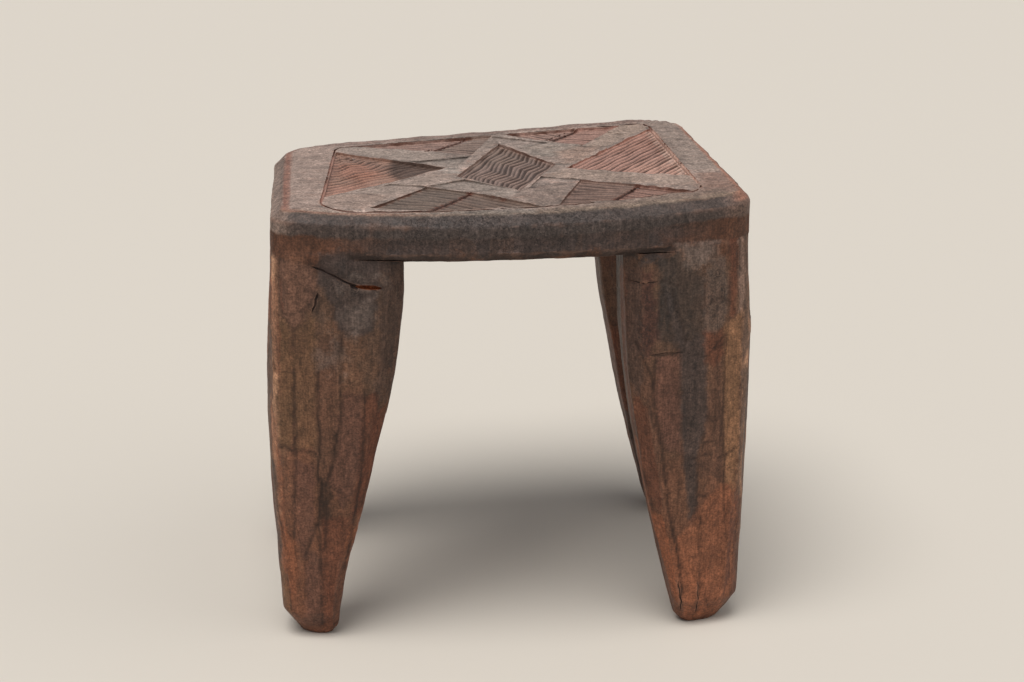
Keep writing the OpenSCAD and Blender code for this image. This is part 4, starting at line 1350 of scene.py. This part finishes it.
class STOOL_OT_ageing(bpy.types.Operator):
    """Opens the drying cracks and cuts the undercuts beneath the seat's edge"""
    bl_idname = "stool.ageing"
    bl_label = "Age the block"

    def execute(self, context):
        block = bpy.data.objects["block"]
        hewn = block.data.materials[0]
        # The cracks' near-black walls are painted shade; the chip is fresh wood
        dark = plain_wood("painted shade inside a crack", "#1c1310", "#38251d", 0.002)
        fresh = plain_wood("fresh wood in a chip", "#6d3a20", "#a8643a", 0.0015)
        block.data.materials.append(dark)
        block.data.materials.append(fresh)
        tree = BVHTree.FromObject(block, context.evaluated_depsgraph_get())
        # Each crack is laid on the surface along rays from outside; it wanders by up to 0.45 mm
        looks = {"front": (0, 1), "back": (0, -1), "right": (-1, 0), "left": (1, 0)}
        rng = random.Random(11)
        cracks = []
        for side, path, radius in CRACKS:
            way = Vector((*looks[side], 0))
            points = []
            for (u0, z0), (u1, z1) in zip(path, path[1:]):
                steps = max(2, round(math.hypot(u1 - u0, z1 - z0) / 3.5))
                for i in range(steps):
                    f = i / steps
                    points.append((u0 + (u1 - u0) * f + rng.uniform(-0.45, 0.45),
                                   z0 + (z1 - z0) * f))
            points.append(path[-1])
            found = []
            for u, z in points:
                start = Vector((u, 0, z) if way.x == 0 else (0, u, z)) * MM - way * 0.3
                hit = tree.ray_cast(start, way)
                if hit[0] is not None:
                    found.append((hit[0] + way * radius * 0.25 * MM) / MM)
            if len(found) > 2:
                radii = [radius * rng.uniform(0.7, 1.2) * (0.35 if i in (0, len(found) - 1) else 1)
                         for i in range(len(found))]
                cracks.append(tube("crack", found, radii))
        for crack in cracks:
            crack.data.materials.append(dark)
        # Undercuts where the legs' fronts stand back below the seat's edge, and one fresh chip:
        # centre and radii in millimetres, tilt in degrees
        for name, centre, size, tilt, material in (
                ("undercut_left", (-80, -139.5, 261.0), (24, 3.5, 0.45), 2, hewn),
                ("undercut_right", (78, -133.5, 260.4), (20, 3.5, 0.45), -1, hewn),
                ("chip", (-94, -137.5, 244.2), (8.5, 3.2, 1.6), 5, fresh)):
            bpy.ops.object.select_all(action="DESELECT")
            bpy.ops.mesh.primitive_ico_sphere_add(subdivisions=3, radius=1)
            cutter = context.object
            cutter.name = name
            cutter.data.transform(Matrix.Diagonal((*size, 1)))
            cutter.data.transform(Matrix.Rotation(math.radians(tilt), 4, "Y"))
            cutter.data.transform(Matrix.Translation(centre))
            cutter.data.transform(Matrix.Scale(MM, 4))
            cutter.data.materials.append(material)
            cracks.append(cutter)
        cut_away(block, cracks)
        return {"FINISHED"}


class STOOL_OT_pieces(bpy.types.Operator):
    """Divides the block into the seat and the four legs, which ride on the part's body"""
    bl_idname = "stool.pieces"
    bl_label = "Divide the block"

    def execute(self, context):
        block = bpy.data.objects["block"]
        self.measure(block.data)
        below = block.copy()
        below.data = block.data.copy()
        context.scene.collection.objects.link(below)
        for obj, outer in ((block, False), (below, True)):
            select_only(obj)
            bpy.ops.object.mode_set(mode="EDIT")
            bpy.ops.mesh.select_all(action="SELECT")
            bpy.ops.mesh.bisect(plane_co=(0, 0, SEAM * MM), plane_no=(0, 0, 1), use_fill=True,
                                clear_outer=outer, clear_inner=not outer)
            bpy.ops.object.mode_set(mode="OBJECT")
        select_only(below)
        bpy.ops.mesh.separate(type="LOOSE")
        parts = sorted(context.selected_objects, key=lambda o: -len(o.data.vertices))
        for part in parts[:4]:
            centre = vectors(part.data, "co").mean(0)
            node = next(n for n, s in LEGS.items() if s == (np.sign(centre[0]), np.sign(centre[1])))
            self.finish(part, "hewn_" + node, node, "leg_wood")
        for crumb in parts[4:]:
            bpy.data.objects.remove(crumb)
        self.finish(block, "carved_seat", "seat", "seat_wood")
        return {"FINISHED"}

    def measure(self, mesh):
        """Stores on the mesh what the materials read: the painted tones, how far each point lies
        in from the seat's edge, how much it stands out of its surroundings, and the rest."""
        co = vectors(mesh, "co") / MM
        s, t = seat_square(co[:, 0], co[:, 1])
        s, t = np.clip(s, -1.05, 1.05), np.clip(t, -1.05, 1.05)
        nominal = seat_point(s, t)[:, 2]
        inset = edge_distance(s, t) - np.maximum(0, nominal - BEVEL - co[:, 2])
        normal = vectors(mesh, "normal")
        edges = np.empty(len(mesh.edges) * 2, np.int32)
        mesh.edges.foreach_get("vertices", edges)
        i, j = edges.reshape(-1, 2).T
        step = co[j] - co[i]
        length = np.maximum(np.linalg.norm(step, axis=1), 0.05)
        count = np.bincount(np.concatenate([i, j]), minlength=len(co)).clip(1)
        rise = (np.bincount(i, -(step * normal[i]).sum(1) / length, len(co))
                + np.bincount(j, (step * normal[j]).sum(1) / length, len(co))) / count
        for _ in range(2):
            near = np.bincount(i, rise[j], len(co)) + np.bincount(j, rise[i], len(co))
            rise = 0.4 * rise + 0.6 * near / count
        colour, strength, joint_and_shade, _ = paint(co, normal)
        a, b = panel_square(s, t)
        bands, cuts, line = paint_top(co, a, b)
        on_top = ((inset > -9) & (normal[:, 2] > -0.3)).astype(float)
        bands[:, 3] *= on_top
        # The top's soft lines of painted shade are stored with the dark joints
        joint_and_shade = np.maximum(joint_and_shade, line * on_top)
        facet = np.column_stack([colour, strength])
        for name, values in (("facet", facet), ("bands", bands), ("cuts", cuts)):
            attribute = mesh.attributes.new(name, "FLOAT_COLOR", "POINT")
            attribute.data.foreach_set("color", values.astype(np.float32).ravel())
        # The rim's red line on the left and round the front corner, the rubbed right edge, the
        # darker back edge, and the pale lip along the front
        left = band_of(inset, 7.5, 12) * np.clip((-s - 0.86) * 12, 0, 1)
        front = band_of(inset, 7, 9.5) * (t < -0.8) * np.clip(-s * 2 - 0.3, 0, 1) * 0.8
        right = band_of(inset, 2, 8.5) * np.clip((s - 0.9) * 20, 0, 1)
        back = band_of(inset, 2, 5) * (t > 0.85)
        lip = band_of(inset, 6.5, 12) * np.clip((-t - 0.85) * 10, 0, 1)
        for name, values in (("inset", inset), ("worn", rise * 2.0), ("joint_and_shade", joint_and_shade),
                             ("rim", np.maximum(left, front)), ("rubbed", right),
                             ("shade", back), ("lip", lip),
                             ("furrow", furrow_share(nominal - co[:, 2], a, b))):
            attribute = mesh.attributes.new(name, "FLOAT", "POINT")
            attribute.data.foreach_set("value", values.astype(np.float32))

    def finish(self, obj, name, node, slot):
        """Names and shades a piece, which then rides on the body in its CAD node's place."""
        obj.name = name
        select_only(obj)
        bpy.ops.object.shade_smooth_by_angle(angle=math.radians(SMOOTH_ANGLE))
        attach(obj, "root")
        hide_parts(node)


class STOOL_OT_stage(bpy.types.Operator):
    """Sets a pale floor and backdrop, soft studio light and the camera"""
    bl_idname = "stool.stage"
    bl_label = "Set the stage"

    def execute(self, context):
        scene = context.scene
        bpy.ops.object.select_all(action="DESELECT")
        bpy.ops.mesh.primitive_circle_add(vertices=96, radius=9, fill_type="NGON",
                                          location=(0, 0, 0))
        floor = context.object
        floor.name = "floor"
        material = bpy.data.materials.new("matt pale board")
        material.use_nodes = True
        shader = material.node_tree.nodes["Principled BSDF"]
        shader.inputs["Base Color"].default_value = linear("#d4cdc3")
        shader.inputs["Roughness"].default_value = 0.8
        shader.inputs["Specular IOR Level"].default_value = 0.2
        floor.data.materials.append(material)

        world = bpy.data.worlds.new("soft room light")
        world.use_nodes = True
        scene.world = world
        tree = world.node_tree
        tree.nodes.clear()
        seen = add_node(tree, "ShaderNodeLightPath").outputs["Is Camera Ray"]
        light = add_node(tree, "ShaderNodeBackground", {}, {
            "Color": (0.95, 0.97, 1.0, 1), "Strength": 0.3})
        wall = add_node(tree, "ShaderNodeBackground", {}, {
            "Color": linear("#e6e1d9"), "Strength": 1.0})
        mixed = add_node(tree, "ShaderNodeMixShader", {}, {
            0: seen, 1: light.outputs[0], 2: wall.outputs[0]})
        add_node(tree, "ShaderNodeOutputWorld", {}, {0: mixed.outputs[0]})
        # Broad lamps far off, like large diffusers: where each stands, its softness and strength
        for name, place, angle, power, colour in (
                ("key", (-0.35, -0.5, 1.4), 40, 2.5, (1.0, 0.98, 0.95)),
                ("fill", (0.8, -0.4, 0.9), 60, 0.5, (1.0, 0.97, 0.93))):
            data = bpy.data.lights.new(name, "SUN")
            data.angle = math.radians(angle)
            data.energy = power
            data.color = colour
            lamp = bpy.data.objects.new(name, data)
            lamp.location = place
            lamp.rotation_euler = (-Vector(place)).to_track_quat("-Z", "Y").to_euler()
            scene.collection.objects.link(lamp)

        data = bpy.data.cameras.new("view")
        data.sensor_width = 36
        data.lens = 70.3
        camera = bpy.data.objects.new("view", data)
        camera.location = (-0.1325, -1.3349, 0.5507)
        view = Vector((0.1015, 0.9562, -0.2745))
        camera.rotation_euler = view.to_track_quat("-Z", "Y").to_euler()
        scene.collection.objects.link(camera)
        scene.camera = camera
        scene.view_settings.view_transform = "Standard"
        return {"FINISHED"}


OPERATORS = (STOOL_OT_legs, STOOL_OT_seat, STOOL_OT_block, STOOL_OT_carving, STOOL_OT_ageing,
             STOOL_OT_pieces, STOOL_OT_stage)


class STOOL_PT_panel(bpy.types.Panel):
    """Lists the steps that make the stool"""
    bl_idname = "STOOL_PT_panel"
    bl_label = "Hewn stool"
    bl_space_type = "VIEW_3D"
    bl_region_type = "UI"
    bl_category = "Stool"

    def draw(self, context):
        scene = context.scene
        for group in (scene.stool_block, scene.stool_carving, scene.stool_colours):
            for name in group.__annotations__:
                self.layout.prop(group, name)
        for operator in OPERATORS:
            self.layout.operator(operator.bl_idname)


CLASSES = (STOOL_PG_block, STOOL_PG_carving, STOOL_PG_colours, *OPERATORS, STOOL_PT_panel)


def register():
    for cls in CLASSES:
        bpy.utils.register_class(cls)
    bpy.types.Scene.stool_block = PointerProperty(type=STOOL_PG_block)
    bpy.types.Scene.stool_carving = PointerProperty(type=STOOL_PG_carving)
    bpy.types.Scene.stool_colours = PointerProperty(type=STOOL_PG_colours)


def unregister():
    del bpy.types.Scene.stool_colours
    del bpy.types.Scene.stool_carving
    del bpy.types.Scene.stool_block
    for cls in reversed(CLASSES):
        bpy.utils.unregister_class(cls)


def main():
    register()
    for step in (bpy.ops.stool.legs, bpy.ops.stool.seat, bpy.ops.stool.block, bpy.ops.stool.carving,
                 bpy.ops.stool.ageing, bpy.ops.stool.pieces, bpy.ops.stool.stage):
        step()


if __name__ == "__main__":
    main()
